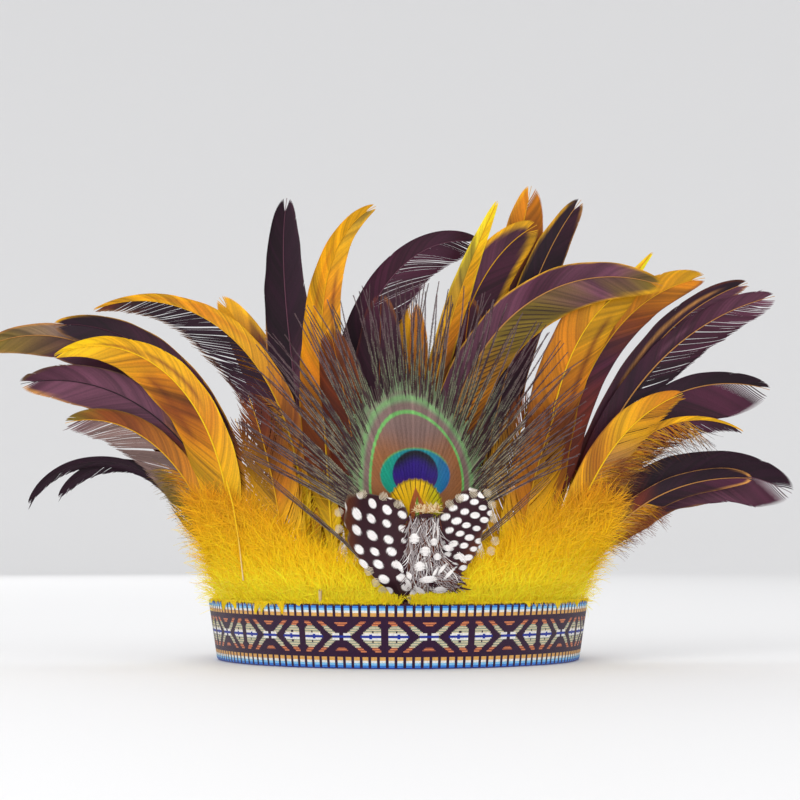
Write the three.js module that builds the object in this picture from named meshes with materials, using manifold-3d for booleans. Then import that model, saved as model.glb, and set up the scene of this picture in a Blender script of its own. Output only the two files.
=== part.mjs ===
// Feathered headdress: a woven ribbon band that closes round the head, and a spray of cock feathers
// that stands behind its front edge, with a peacock eye, two guinea fowl feathers and yellow down.
// Millimetres, +Z up, front towards -Y. Origin: the middle of the head opening, level with the lower rim.
import * as THREE from "three";
import { mergeVertices } from "three/addons/utils/BufferGeometryUtils.js";
import Module from "manifold-3d";

const wasm = await Module();
wasm.setup();
const { degToRad, lerp, smoothstep } = THREE.MathUtils;

// Woven band, measured on its outside at the lower rim
const BAND_HEIGHT = 27;
const BAND_HALF_WIDTH = 82;
const BAND_HALF_DEPTH = 98;
const BAND_FLARE = 0.15;
const BAND_WALL = 1.6;
const BAND_FACETS = 96;
const LAP_LENGTH = 14;
const LAP_MARGIN = 0.3;

// Feathers
const LONGEST_FEATHER = 190;
const BROADEST_VANE = 24;
const VANE_AT_SPINE = 1.4;
const VANE_AT_EDGE = 0.5;
const QUILL_FOOT = 5;
const QUILL_WIDTH = 1.4;
const QUILL_DEPTH = 1.2;
const ROOT_HEIGHT = BAND_HEIGHT + 2;

// The row of quills behind the band, and the strip of down between them
const CLEARANCE = 0.35;
const DOWN_STRIP = 0.8;
const STRIP_INSET = BAND_WALL + CLEARANCE + DOWN_STRIP / 2;
const ROW_INSET = BAND_WALL + CLEARANCE + DOWN_STRIP + CLEARANCE + QUILL_DEPTH / 2;

// The curved sheet on which the spray fans out, and the spacing of the layers behind it
const SPRAY_FRONT = 100;
const SPRAY_SWEEP = 80;
const SPRAY_REACH = 90;
const SPRAY_LEAN = 0.05;
const SPRAY_RISE = 30;
const LAYER_RISE = 14;
const LAYER_GAP_AT_ROOT = 1.9;
const LAYER_GAP_AT_TIP = 3.0;
const LAYER_SPREAD = 80;
const STEEPEST = 1.7;
const STEEP_SIDE = 0.955;
const SLOPE_PAST_SIDE = 0.5;

// Pieces in front of that sheet
const DOWN_FORWARD = 2.8;
const PEACOCK_FORWARD = 6.6;
const GUINEA_FORWARD = { left: 9.8, right: 8.2 };
const FRONT_RISE = 10;

const COLOURS = {
  band: 0x4a2a4a,
  gold: 0xb5791a,
  dark: 0x3a1a2a,
  two_tone: 0x7a4a24,
  peacock: 0x4a5a3a,
  guinea: 0x3c2430,
  down: 0xf0cc08,
};

// Cock feathers, one a line: name, root, start, end, bend, length, width, left, tip, layer, tone.
// Root: share of the band's half width. Start, end: degrees from upright at the root and at the tip,
// positive to the right. Bend: how late the curve comes. Length and width: shares of the longest feather
// and the broadest vane. Left: share of the vane on the left of its spine. Tip: share of the length over
// which the end rounds off. Layer: 0 is the front one.
const COCK_FEATHERS = [
  ["left_01", -0.935, -18, -154, 1.75, 0.675, 0.2, 0.5, 0.2, 2, "dark"],
  ["left_02", -0.91, -14, -148, 1.75, 0.61, 0.24, 0.5, 0.2, 3, "dark"],
  ["left_03", -0.885, -19, -106, 2.25, 0.635, 0.75, 0.62, 0.35, 1, "two_tone"],
  ["left_04", -0.855, -6, -118, 2.3, 0.85, 0.85, 0.6, 0.35, 0, "gold"],
  ["left_05", -0.83, -3, -95, 1.75, 0.89, 0.75, 0.6, 0.3, 3, "dark"],
  ["left_06", -0.805, -14, -103, 1.6, 0.83, 0.85, 0.56, 0.3, 2, "two_tone"],
  ["left_07", -0.775, -21, -119, 2.45, 1, 0.72, 0.62, 0.3, 4, "two_tone"],
  ["left_08", -0.68, -3, -22, 1, 0.42, 0.85, 0.5, 0.35, 1, "gold"],
  ["left_09", -0.61, -2, -20, 1, 0.47, 0.85, 0.5, 0.35, 0, "gold"],
  ["left_10", -0.5, -1.5, -112, 2, 1, 0.9, 0.68, 0.35, 2, "gold"],
  ["left_11", -0.46, -8, -38, 2, 0.74, 0.75, 0.5, 0.35, 4, "dark"],
  ["left_12", -0.425, -7.5, 9, 6, 0.92, 0.85, 0.5, 0.45, 3, "dark"],
  ["left_13", -0.39, 0, -26, 1.5, 0.61, 0.85, 0.5, 0.35, 5, "two_tone"],
  ["left_14", -0.355, -4, 67, 6, 0.92, 0.85, 0.5, 0.6, 1, "gold"],
  ["left_15", -0.275, -2.5, 103, 3.35, 0.975, 0.88, 0.36, 0.3, 4, "dark"],
  ["left_16", -0.195, -2, -14, 1, 0.61, 0.85, 0.5, 0.35, 0, "two_tone"],
  ["middle_01", -0.11, -3, 2, 1, 0.68, 0.9, 0.5, 0.35, 2, "dark"],
  ["middle_02", -0.065, 2, 6, 1, 0.67, 0.85, 0.5, 0.35, 5, "gold"],
  ["middle_03", 0.21, 2, 8, 1, 0.68, 0.85, 0.5, 0.35, 2, "two_tone"],
  ["right_01", 0.015, 2, 26, 1.2, 0.93, 0.4, 0.5, 0.25, 1, "gold"],
  ["right_02", 0.135, 3.5, 61, 3.35, 0.93, 0.9, 0.45, 0.25, 3, "two_tone"],
  ["right_03", 0.17, 14, 13, 1, 0.98, 0.95, 0.4, 0.3, 5, "two_tone"],
  ["right_04", 0.245, 14, 39, 4, 0.99, 0.75, 0.45, 0.35, 4, "dark"],
  ["right_05", 0.28, -14, 107, 1.45, 1.09, 0.9, 0.4, 0.35, 0, "two_tone"],
  ["right_06", 0.465, 3, 20, 1, 0.48, 0.85, 0.5, 0.35, 2, "gold"],
  ["right_07", 0.51, 10, 41, 1, 0.92, 0.35, 0.5, 0.2, 6, "gold"],
  ["right_08", 0.575, 4, 24, 1, 0.46, 0.85, 0.5, 0.35, 0, "gold"],
  ["right_09", 0.65, 7, 68, 3.3, 0.82, 0.95, 0.5, 0.25, 1, "gold"],
  ["right_10", 0.71, 9, 82, 2.5, 0.93, 0.75, 0.55, 0.3, 2, "gold"],
  ["right_11", 0.745, 20, 73, 2.5, 0.95, 0.55, 0.5, 0.25, 5, "dark"],
  ["right_12", 0.79, 16, 70, 1.9, 0.6, 0.7, 0.5, 0.25, 0, "two_tone"],
  ["right_13", 0.82, 13.5, 77, 1.6, 0.96, 0.72, 0.4, 0.2, 4, "dark"],
  ["right_14", 0.845, 8, 107, 1.5, 0.825, 0.95, 0.27, 0.2, 3, "dark"],
  ["right_15", 0.88, 11, 119, 1.8, 0.69, 0.55, 0.2, 0.3, 1, "gold"],
  ["right_16", 0.92, 10, 119, 0.95, 0.69, 1, 0.42, 0.2, 2, "dark"],
  ["right_17", 0.94, 9.5, 94, 0.77, 0.555, 0.45, 0.5, 0.25, 0, "two_tone"],
].map(([name, root, start, end, bend, length, width, left, tip, layer, tone]) => {
  return { name, root, start, end, bend, length, width, left, tip, layer, tone };
});
const VANE_STATIONS = [0, 0.06, 0.16, 0.28, 0.4, 0.54, 0.68, 0.8, 0.88, 0.94, 0.98, 1];

// Peacock feather: a disc with the eye, and loose herls that fan out from the spine below it
const PEACOCK = {
  root: 0.055,
  eyeX: 3.5,
  neck: 60,
  middle: 84,
  top: 112,
  halfWidth: 19.5,
  topWidth: 6,
  depth: 1.6,
  edge: 1.2,
  stemWidth: 2,
  stemEdge: 0.9,
  herls: 23,
  fanFoot: 50,
  fanAngle: 63,
  middleHerlFrom: 48,
  sideHerlFrom: 6,
  herlReach: 112,
  herlWidth: 2.2,
  herlDepth: 0.8,
};

// Guinea fowl feathers, with the vane starting just over the band
const GUINEA = {
  width: 19,
  length: 52,
  depth: 1.1,
  edge: 0.6,
  left: { root: -0.025, start: -12, end: -38 },
  right: { root: 0.1, start: 10, end: 38 },
};

// Yellow down: strips between the band and the quills, each with locks that stand over the rim.
// Strip and locks: from, to, as shares of the band's half width. Reach: the longest lock. Splay: degrees
// at the outer end. Between the inner locks the strips end level with the rim.
const DOWN_TUFTS = [
  { name: "left_outer", strip: [-0.95, -0.67], locks: [-0.9, -0.72], reach: 44, splay: -26 },
  { name: "left_inner", strip: [-0.66, -0.005], locks: [-0.6, -0.34], reach: 27, splay: -12 },
  { name: "right_inner", strip: [0.005, 0.66], locks: [0.34, 0.6], reach: 27, splay: 12 },
  { name: "right_outer", strip: [0.67, 0.95], locks: [0.72, 0.9], reach: 40, splay: 28 },
];
const INNER_END_OF_DOWN = 0.3;
const STRIP_FOOT = 0.55 * BAND_HEIGHT;
const STRIP_OVER_RIM = 0.4;
const LOW_ROW = 0.2;
const BACKING_RISE = 15;
const BACKING_DEPTH = 1.6;
const LOCKS_IN_A_TUFT = 7;
const LOCK_WIDTH = 7;
const LOCK_DEPTH = 2.2;
const LOCK_TIP_DEPTH = 0.8;
const LOCK_EDGE = 0.6;
const BACK_LOCK_FOOT = 8;
const FRONT_LOCK_FOOT = 5;
const FRONT_LOCK_FORWARD = 0.8;

// Half width and half depth of the band's outside at a height, level with the upper rim above it
const halfWidthAt = (z) => BAND_HALF_WIDTH + BAND_FLARE * Math.min(z, BAND_HEIGHT);
const halfDepthAt = (z) => BAND_HALF_DEPTH + BAND_FLARE * Math.min(z, BAND_HEIGHT);

// The front wall, moved in by an inset; past its steep side the curve goes on at a lower slope.
function wallCurve(x, z, inset) {
  const a = halfWidthAt(z) - inset;
  const b = halfDepthAt(z) - inset;
  const end = STEEP_SIDE * a;
  const u = Math.min(Math.abs(x), end) / a;
  const run = Math.sqrt(1 - u * u);
  const slope = ((b / a) * u) / run;
  return -b * run + Math.max(Math.abs(x) - end, 0) * slope * SLOPE_PAST_SIDE;
}

function spraySheet(x, z) {
  const swept = -SPRAY_FRONT + SPRAY_SWEEP * (1 - Math.exp(-((x / SPRAY_REACH) ** 2)));
  const share = smoothstep(z, BAND_HEIGHT, BAND_HEIGHT + SPRAY_RISE);
  return lerp(wallCurve(x, z, 0), swept, share) + SPRAY_LEAN * Math.max(z - BAND_HEIGHT, 0);
}

// How much longer a path through the sheet is along Y than square to the sheet
function steepness(sheet, x, z) {
  const step = 0.5;
  const dx = (sheet(x + step, z) - sheet(x - step, z)) / (2 * step);
  const dz = (sheet(x, z + step) - sheet(x, z - step)) / (2 * step);
  return Math.sqrt(1 + dx * dx + dz * dz);
}

function layerSheet(layer) {
  return (x, z) => {
    const out = Math.max(z - ROOT_HEIGHT, 0) + Math.max(Math.abs(x) - BAND_HALF_WIDTH, 0);
    const gap = lerp(LAYER_GAP_AT_ROOT, LAYER_GAP_AT_TIP, smoothstep(out, 0, LAYER_SPREAD));
    const y = spraySheet(x, z) + layer * gap * Math.min(steepness(spraySheet, x, z), STEEPEST);
    const share = smoothstep(z, ROOT_HEIGHT, ROOT_HEIGHT + LAYER_RISE);
    return lerp(wallCurve(x, z, ROW_INSET), y, share);
  };
}

function frontSheet(forward) {
  return (x, z) => {
    const share = smoothstep(z, ROOT_HEIGHT - 1, ROOT_HEIGHT - 1 + FRONT_RISE);
    return lerp(wallCurve(x, z, ROW_INSET), spraySheet(x, z) - forward, share);
  };
}

function downSheet(x, z) {
  const share = smoothstep(z, BAND_HEIGHT + 0.5, BAND_HEIGHT + FRONT_RISE);
  return lerp(wallCurve(x, z, STRIP_INSET), spraySheet(x, z) - DOWN_FORWARD, share);
}

// A blade through a list of stations, each with its place, its angle from upright, its widths on both
// sides of the spine and its thickness at the spine and at the edges. It lies on the given sheet.
function blade(stations, sheet, across = 2) {
  const count = stations.length - 1;
  const geometry = new THREE.BoxGeometry(1, 1, 1, across, 1, count);
  const position = geometry.attributes.position;
  for (let i = 0; i < position.count; i++) {
    const at = stations[Math.round((position.getZ(i) + 0.5) * count)];
    const side = 2 * position.getX(i);
    const reach = side * (side < 0 ? at.left : at.right);
    const x = at.x + Math.cos(at.angle) * reach;
    const z = at.z - Math.sin(at.angle) * reach;
    const thickness = lerp(at.middle, at.edge, Math.abs(side)) * steepness(sheet, x, z);
    position.setXYZ(i, x, sheet(x, z) + position.getY(i) * thickness, z);
  }
  matchDiagonals(geometry);
  return bare(geometry);
}

// A box's front and back cut their cells along opposite diagonals. The back's are turned to match the
// front's, so that a thin blade keeps its thickness where the sheet twists.
function matchDiagonals(geometry) {
  const back = geometry.groups[3];
  const index = geometry.index.array;
  for (let i = back.start; i < back.start + back.count; i += 6) {
    const [a, b, d, , c] = index.slice(i, i + 6);
    index.set([a, b, c, a, c, d], i);
  }
}

function bare(geometry) {
  geometry.deleteAttribute("normal");
  geometry.deleteAttribute("uv");
  return mergeVertices(geometry, 1e-4);
}

function fuse(geometries) {
  const solids = geometries.map(
    (g) =>
      new wasm.Manifold(
        new wasm.Mesh({
          numProp: 3,
          vertProperties: new Float32Array(g.attributes.position.array),
          triVerts: new Uint32Array(g.index.array),
        }),
      ),
  );
  const mesh = solids.reduce((all, one) => all.add(one)).getMesh();
  return new THREE.BufferGeometry()
    .setAttribute("position", new THREE.BufferAttribute(mesh.vertProperties, 3))
    .setIndex(new THREE.BufferAttribute(mesh.triVerts, 1));
}

// A spine that starts over the row of quills and bends from its start angle to its end angle
function bentSpine({ x, z, start, end, bend, length }) {
  const steps = 60;
  const points = [{ x, z, angle: degToRad(start) }];
  for (let i = 1; i <= steps; i++) {
    const angle = degToRad(lerp(start, end, ((i - 0.5) / steps) ** bend));
    const last = points[i - 1];
    points.push({
      x: last.x + (Math.sin(angle) * length) / steps,
      z: last.z + (Math.cos(angle) * length) / steps,
      angle: degToRad(lerp(start, end, (i / steps) ** bend)),
    });
  }
  return (share) => points[Math.round(share * steps)];
}

// The quill's foot in the row: it leans with the band's wall, so it keeps its share of the width.
function quillFoot(rootX) {
  const rowAt = (z) => halfWidthAt(z) - ROW_INSET;
  const x = (rootX * rowAt(QUILL_FOOT)) / rowAt(ROOT_HEIGHT);
  const lean = Math.atan2(rootX - x, ROOT_HEIGHT - QUILL_FOOT);
  return { x, z: QUILL_FOOT, angle: lean };
}

// Widths are across the picture, so a quill on the steep side of the row is narrower there.
function quillStation(place) {
  const row = (x, z) => wallCurve(x, z, ROW_INSET);
  const half = QUILL_WIDTH / 2 / steepness(row, place.x, place.z);
  return { ...place, left: half, right: half, middle: QUILL_DEPTH, edge: VANE_AT_EDGE };
}

function vaneShare(share, tip) {
  const grown = smoothstep(share, 0.06, 0.4);
  const past = Math.max(share - (1 - tip), 0) / tip;
  return 0.06 + 0.94 * grown * Math.sqrt(Math.max(1 - past * past, 0));
}

function cockFeather({ root, start, end, bend, length, width, left, tip, layer }) {
  const x = root * BAND_HALF_WIDTH;
  const spine = bentSpine({ x, z: ROOT_HEIGHT, start, end, bend, length: length * LONGEST_FEATHER });
  const stations = [quillStation(quillFoot(x)), quillStation({ x, z: ROOT_HEIGHT, angle: 0 })];
  for (const share of VANE_STATIONS.slice(1)) {
    const full = width * BROADEST_VANE * vaneShare(share, tip);
    const halves = { left: full * left, right: full * (1 - left) };
    const middle = lerp(VANE_AT_SPINE, VANE_AT_EDGE, share);
    stations.push({ ...spine(share), ...halves, middle, edge: VANE_AT_EDGE });
  }
  return blade(stations, layerSheet(layer));
}

function peacockFeather() {
  const sheet = frontSheet(PEACOCK_FORWARD);
  const rootX = PEACOCK.root * BAND_HALF_WIDTH;
  const { eyeX, neck, middle, top, depth, edge } = PEACOCK;
  const stem = PEACOCK.stemWidth / 2;
  const stations = [quillStation(quillFoot(rootX)), quillStation({ x: rootX, z: ROOT_HEIGHT, angle: 0 })];
  for (const share of [0.16, 0.36, 1]) {
    const z = lerp(ROOT_HEIGHT, neck, share);
    stations.push({ x: eyeX, z, angle: 0, left: stem, right: stem, middle: depth, edge: PEACOCK.stemEdge });
  }
  const rounds = 9;
  for (let i = 1; i < rounds; i++) {
    const turn = (i / rounds) * Math.PI;
    const up = -Math.cos(turn);
    const z = middle + up * (up < 0 ? middle - neck : top - middle);
    const half = Math.sin(turn) * PEACOCK.halfWidth;
    stations.push({ x: eyeX, z, angle: 0, left: half, right: half, middle: depth, edge });
  }
  const topHalf = PEACOCK.topWidth / 2;
  stations.push({ x: eyeX, z: top, angle: 0, left: topHalf, right: topHalf, middle: edge, edge });
  const parts = [blade(stations, sheet, 6)];
  for (let i = 0; i < PEACOCK.herls; i++) {
    const aside = (2 * i) / (PEACOCK.herls - 1) - 1;
    const angle = degToRad(aside * PEACOCK.fanAngle);
    const reach = PEACOCK.herlReach * (1 - 0.24 * aside ** 4) * (i % 2 ? 0.97 : 1);
    const sideways = smoothstep(Math.abs(aside), 0.1, 0.75);
    const start = lerp(PEACOCK.middleHerlFrom, PEACOCK.sideHerlFrom, sideways);
    const herl = [];
    for (let k = 0; k <= 4; k++) {
      const along = lerp(start, reach, k / 4);
      const half = (PEACOCK.herlWidth / 2) * (1 - 0.6 * (k / 4));
      const turned = angle * (0.93 + 0.07 * (along / reach));
      herl.push({
        x: eyeX + Math.sin(turned) * along,
        z: PEACOCK.fanFoot + Math.cos(turned) * along,
        angle: turned,
        left: half,
        right: half,
        middle: PEACOCK.herlDepth,
        edge: PEACOCK.herlDepth,
      });
    }
    parts.push(blade(herl, sheet, 1));
  }
  return fuse(parts);
}

function guineaFeather(side) {
  const { root, start, end } = GUINEA[side];
  const x = root * BAND_HALF_WIDTH;
  const spine = bentSpine({ x, z: ROOT_HEIGHT, start, end, bend: 0.6, length: GUINEA.length });
  const stations = [quillStation(quillFoot(x)), quillStation({ x, z: ROOT_HEIGHT, angle: 0 })];
  for (const share of [0.06, 0.1, 0.16, 0.24, 0.36, 0.5, 0.64, 0.78, 0.88, 0.95, 1]) {
    const grown = smoothstep(share, 0.04, 0.26);
    const past = Math.max(share - 0.6, 0) / 0.4;
    const half = (GUINEA.width / 2) * (0.07 + 0.93 * grown * Math.sqrt(Math.max(1 - past * past, 0)));
    stations.push({ ...spine(share), left: half, right: half, middle: GUINEA.depth, edge: GUINEA.edge });
  }
  return blade(stations, frontSheet(GUINEA_FORWARD[side]), 4);
}

function downTuft({ strip, locks, reach, splay }) {
  const columns = 12;
  const rows = 4;
  const backing = new THREE.BoxGeometry(1, 1, 1, columns, 1, rows);
  const rimRow = BAND_HEIGHT + STRIP_OVER_RIM;
  const position = backing.attributes.position;
  for (let i = 0; i < position.count; i++) {
    const row = Math.round((position.getZ(i) + 0.5) * rows);
    const share = lerp(...strip, position.getX(i) + 0.5);
    const full = smoothstep(Math.abs(share), INNER_END_OF_DOWN - 0.05, INNER_END_OF_DOWN);
    const low = rimRow + (row - 1) * LOW_ROW;
    const high = row > 1 ? BAND_HEIGHT + (BACKING_RISE * (row - 1)) / (rows - 1) : rimRow;
    const z = row ? lerp(low, high, full) : STRIP_FOOT;
    const lean = (halfWidthAt(z) - ROW_INSET) / (halfWidthAt(BAND_HEIGHT) - ROW_INSET);
    const x = share * BAND_HALF_WIDTH * lean;
    const depth = row < 2 ? DOWN_STRIP : lerp(DOWN_STRIP, BACKING_DEPTH, full);
    const thickness = depth * steepness(downSheet, x, z);
    position.setXYZ(i, x, downSheet(x, z) + position.getY(i) * thickness, z);
  }
  matchDiagonals(backing);
  const parts = [bare(backing)];
  for (let i = 0; i < LOCKS_IN_A_TUFT; i++) {
    const share = i / (LOCKS_IN_A_TUFT - 1);
    const outward = splay < 0 ? 1 - share : share;
    const front = i % 2;
    const start = splay * lerp(0.5, 0.9, outward);
    const spine = bentSpine({
      x: lerp(...locks, share) * BAND_HALF_WIDTH,
      z: BAND_HEIGHT + (front ? FRONT_LOCK_FOOT : BACK_LOCK_FOOT),
      start,
      end: start + splay * 0.4,
      bend: 1,
      length: reach * lerp(0.55, 1, outward) * lerp(1, 0.72, front),
    });
    const lock = [0, 0.3, 0.6, 0.85, 1].map((along) => {
      const half = (LOCK_WIDTH / 2) * Math.sqrt(1 - along * along * 0.97);
      const middle = lerp(LOCK_DEPTH, LOCK_TIP_DEPTH, along);
      return { ...spine(along), left: half, right: half, middle, edge: LOCK_EDGE };
    });
    parts.push(blade(lock, (x, z) => downSheet(x, z) - front * FRONT_LOCK_FORWARD));
  }
  return fuse(parts);
}

// The ribbon: a closed loop with a flared wall, and its end lapped over itself at the back
function wovenBand() {
  const inner = 1;
  const outer = 2;
  const profile = [
    new THREE.Vector2(inner, 0),
    new THREE.Vector2(inner, 1),
    new THREE.Vector2(outer, 1),
    new THREE.Vector2(outer, 0),
    new THREE.Vector2(inner, 0),
  ];
  const loop = new THREE.LatheGeometry(profile, BAND_FACETS);
  wrap(loop, (p) => ({
    turn: Math.atan2(p.x, -p.z),
    inset: Math.hypot(p.x, p.z) > 1.5 ? 0 : BAND_WALL,
    z: p.y * BAND_HEIGHT,
  }));
  const lapTurn = LAP_LENGTH / (2 * BAND_HALF_WIDTH);
  const lap = new THREE.BoxGeometry(1, 1, 1, 4, 1, 1);
  wrap(lap, (p) => ({
    turn: Math.PI - p.x * 2 * lapTurn,
    inset: p.y > 0 ? -BAND_WALL : BAND_WALL / 2,
    z: (p.z + 0.5) * (BAND_HEIGHT - 2 * LAP_MARGIN) + LAP_MARGIN,
  }));
  return fuse([bare(loop), bare(lap)]);
}

function wrap(geometry, place) {
  const position = geometry.attributes.position;
  const point = new THREE.Vector3();
  for (let i = 0; i < position.count; i++) {
    point.fromBufferAttribute(position, i);
    const { turn, inset, z } = place(point);
    const x = (halfWidthAt(z) - inset) * Math.sin(turn);
    const y = -(halfDepthAt(z) - inset) * Math.cos(turn);
    position.setXYZ(i, x, y, z);
  }
}

const headdress = new THREE.Group();
headdress.name = "feathered_headdress";

function add(name, geometry, colour, roughness) {
  const material = new THREE.MeshStandardMaterial({ color: colour, roughness, metalness: 0 });
  const mesh = new THREE.Mesh(geometry, material);
  mesh.name = name;
  headdress.add(mesh);
}

add("woven_band", wovenBand(), COLOURS.band, 0.85);
for (const feather of COCK_FEATHERS) {
  add(`cock_feather_${feather.name}`, cockFeather(feather), COLOURS[feather.tone], 0.55);
}
add("peacock_feather", peacockFeather(), COLOURS.peacock, 0.5);
add("guinea_feather_left", guineaFeather("left"), COLOURS.guinea, 0.6);
add("guinea_feather_right", guineaFeather("right"), COLOURS.guinea, 0.6);
for (const tuft of DOWN_TUFTS) {
  add(`down_tuft_${tuft.name}`, downTuft(tuft), COLOURS.down, 0.9);
}

export default headdress;
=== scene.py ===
"""Looks of the feathered headdress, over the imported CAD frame.

Lengths are in millimetres and turned to metres where a mesh is made. The sheets and the feather table
repeat those of the part's source, so that each dressed feather lies on its own solid.
"""

import bpy
import numpy as np
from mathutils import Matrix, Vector


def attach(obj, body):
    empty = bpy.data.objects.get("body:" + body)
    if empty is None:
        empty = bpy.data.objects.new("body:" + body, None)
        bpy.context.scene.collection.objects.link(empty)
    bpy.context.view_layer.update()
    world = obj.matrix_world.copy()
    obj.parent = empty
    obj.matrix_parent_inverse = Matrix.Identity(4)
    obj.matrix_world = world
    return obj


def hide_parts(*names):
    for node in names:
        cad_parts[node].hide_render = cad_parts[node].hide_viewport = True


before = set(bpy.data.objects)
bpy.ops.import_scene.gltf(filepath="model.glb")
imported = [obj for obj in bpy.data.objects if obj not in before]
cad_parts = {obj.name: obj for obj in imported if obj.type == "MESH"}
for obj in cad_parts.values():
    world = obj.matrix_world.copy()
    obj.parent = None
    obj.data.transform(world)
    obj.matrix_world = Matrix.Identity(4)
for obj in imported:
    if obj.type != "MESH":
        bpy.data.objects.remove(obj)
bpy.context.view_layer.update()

MM = 0.001
rng = np.random.default_rng(20)

# Woven band
BAND_HEIGHT = 27.0
BAND_HALF_WIDTH = 82.0
BAND_HALF_DEPTH = 98.0
BAND_FLARE = 0.15
BAND_WALL = 1.6
LAP_LENGTH = 14.0

# Feathers, the row of quills and the strip of down
LONGEST_FEATHER = 190.0
BROADEST_VANE = 24.0
QUILL_FOOT = 5.0
ROOT_HEIGHT = BAND_HEIGHT + 2
STRIP_INSET = 2.35
ROW_INSET = 3.7

# Sheet of the spray and its layers
SPRAY_FRONT = 100.0
SPRAY_SWEEP = 80.0
SPRAY_REACH = 90.0
SPRAY_LEAN = 0.05
SPRAY_RISE = 30.0
LAYER_RISE = 14.0
LAYER_GAP = (1.9, 3.0)
LAYER_SPREAD = 80.0
STEEPEST = 1.7
STEEP_SIDE = 0.955
SLOPE_PAST_SIDE = 0.5
DOWN_FORWARD = 2.8
PEACOCK_FORWARD = 6.6
GUINEA_FORWARD = {"left": 9.8, "right": 8.2}
FRONT_RISE = 10.0

# Cock feathers as in the part's source: name, root, start, end, bend, length, width, left, tip, layer, tone
COCK_FEATHERS = [
    ("left_01", -0.935, -18, -154, 1.75, 0.675, 0.2, 0.5, 0.2, 2, "dark"),
    ("left_02", -0.91, -14, -148, 1.75, 0.61, 0.24, 0.5, 0.2, 3, "dark"),
    ("left_03", -0.885, -19, -106, 2.25, 0.635, 0.75, 0.62, 0.35, 1, "two_tone"),
    ("left_04", -0.855, -6, -118, 2.3, 0.85, 0.85, 0.6, 0.35, 0, "gold"),
    ("left_05", -0.83, -3, -95, 1.75, 0.89, 0.75, 0.6, 0.3, 3, "dark"),
    ("left_06", -0.805, -14, -103, 1.6, 0.83, 0.85, 0.56, 0.3, 2, "two_tone"),
    ("left_07", -0.775, -21, -119, 2.45, 1.0, 0.72, 0.62, 0.3, 4, "two_tone"),
    ("left_08", -0.68, -3, -22, 1, 0.42, 0.85, 0.5, 0.35, 1, "gold"),
    ("left_09", -0.61, -2, -20, 1, 0.47, 0.85, 0.5, 0.35, 0, "gold"),
    ("left_10", -0.5, -1.5, -112, 2, 1.0, 0.9, 0.68, 0.35, 2, "gold"),
    ("left_11", -0.46, -8, -38, 2, 0.74, 0.75, 0.5, 0.35, 4, "dark"),
    ("left_12", -0.425, -7.5, 9, 6, 0.92, 0.85, 0.5, 0.45, 3, "dark"),
    ("left_13", -0.39, 0, -26, 1.5, 0.61, 0.85, 0.5, 0.35, 5, "two_tone"),
    ("left_14", -0.355, -4, 67, 6, 0.92, 0.85, 0.5, 0.6, 1, "gold"),
    ("left_15", -0.275, -2.5, 103, 3.35, 0.975, 0.88, 0.36, 0.3, 4, "dark"),
    ("left_16", -0.195, -2, -14, 1, 0.61, 0.85, 0.5, 0.35, 0, "two_tone"),
    ("middle_01", -0.11, -3, 2, 1, 0.68, 0.9, 0.5, 0.35, 2, "dark"),
    ("middle_02", -0.065, 2, 6, 1, 0.67, 0.85, 0.5, 0.35, 5, "gold"),
    ("middle_03", 0.21, 2, 8, 1, 0.68, 0.85, 0.5, 0.35, 2, "two_tone"),
    ("right_01", 0.015, 2, 26, 1.2, 0.93, 0.4, 0.5, 0.25, 1, "gold"),
    ("right_02", 0.135, 3.5, 61, 3.35, 0.93, 0.9, 0.45, 0.25, 3, "two_tone"),
    ("right_03", 0.17, 14, 13, 1, 0.98, 0.95, 0.4, 0.3, 5, "two_tone"),
    ("right_04", 0.245, 14, 39, 4, 0.99, 0.75, 0.45, 0.35, 4, "dark"),
    ("right_05", 0.28, -14, 107, 1.45, 1.09, 0.9, 0.4, 0.35, 0, "two_tone"),
    ("right_06", 0.465, 3, 20, 1, 0.48, 0.85, 0.5, 0.35, 2, "gold"),
    ("right_07", 0.51, 10, 41, 1, 0.92, 0.35, 0.5, 0.2, 6, "gold"),
    ("right_08", 0.575, 4, 24, 1, 0.46, 0.85, 0.5, 0.35, 0, "gold"),
    ("right_09", 0.65, 7, 68, 3.3, 0.82, 0.95, 0.5, 0.25, 1, "gold"),
    ("right_10", 0.71, 9, 82, 2.5, 0.93, 0.75, 0.55, 0.3, 2, "gold"),
    ("right_11", 0.745, 20, 73, 2.5, 0.95, 0.55, 0.5, 0.25, 5, "dark"),
    ("right_12", 0.79, 16, 70, 1.9, 0.6, 0.7, 0.5, 0.25, 0, "two_tone"),
    ("right_13", 0.82, 13.5, 77, 1.6, 0.96, 0.72, 0.4, 0.2, 4, "dark"),
    ("right_14", 0.845, 8, 107, 1.5, 0.825, 0.95, 0.27, 0.2, 3, "dark"),
    ("right_15", 0.88, 11, 119, 1.8, 0.69, 0.55, 0.2, 0.3, 1, "gold"),
    ("right_16", 0.92, 10, 119, 0.95, 0.69, 1.0, 0.42, 0.2, 2, "dark"),
    ("right_17", 0.94, 9.5, 94, 0.77, 0.555, 0.45, 0.5, 0.25, 0, "two_tone"),
]

# Dye colours as the eye sees them
PALETTE = {
    "lemon": (0.98, 0.86, 0.14),
    "yellow": (0.96, 0.77, 0.03),
    "gold": (0.86, 0.62, 0.05),
    "amber": (0.78, 0.47, 0.06),
    "tan": (0.72, 0.50, 0.26),
    "olive": (0.50, 0.41, 0.14),
    "brown": (0.48, 0.24, 0.08),
    "rust": (0.42, 0.16, 0.07),
    "grey": (0.50, 0.40, 0.38),
    "mauve": (0.38, 0.22, 0.29),
    "plum": (0.27, 0.11, 0.19),
    "night": (0.15, 0.04, 0.12),
    "cream": (0.90, 0.80, 0.62),
}

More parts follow.
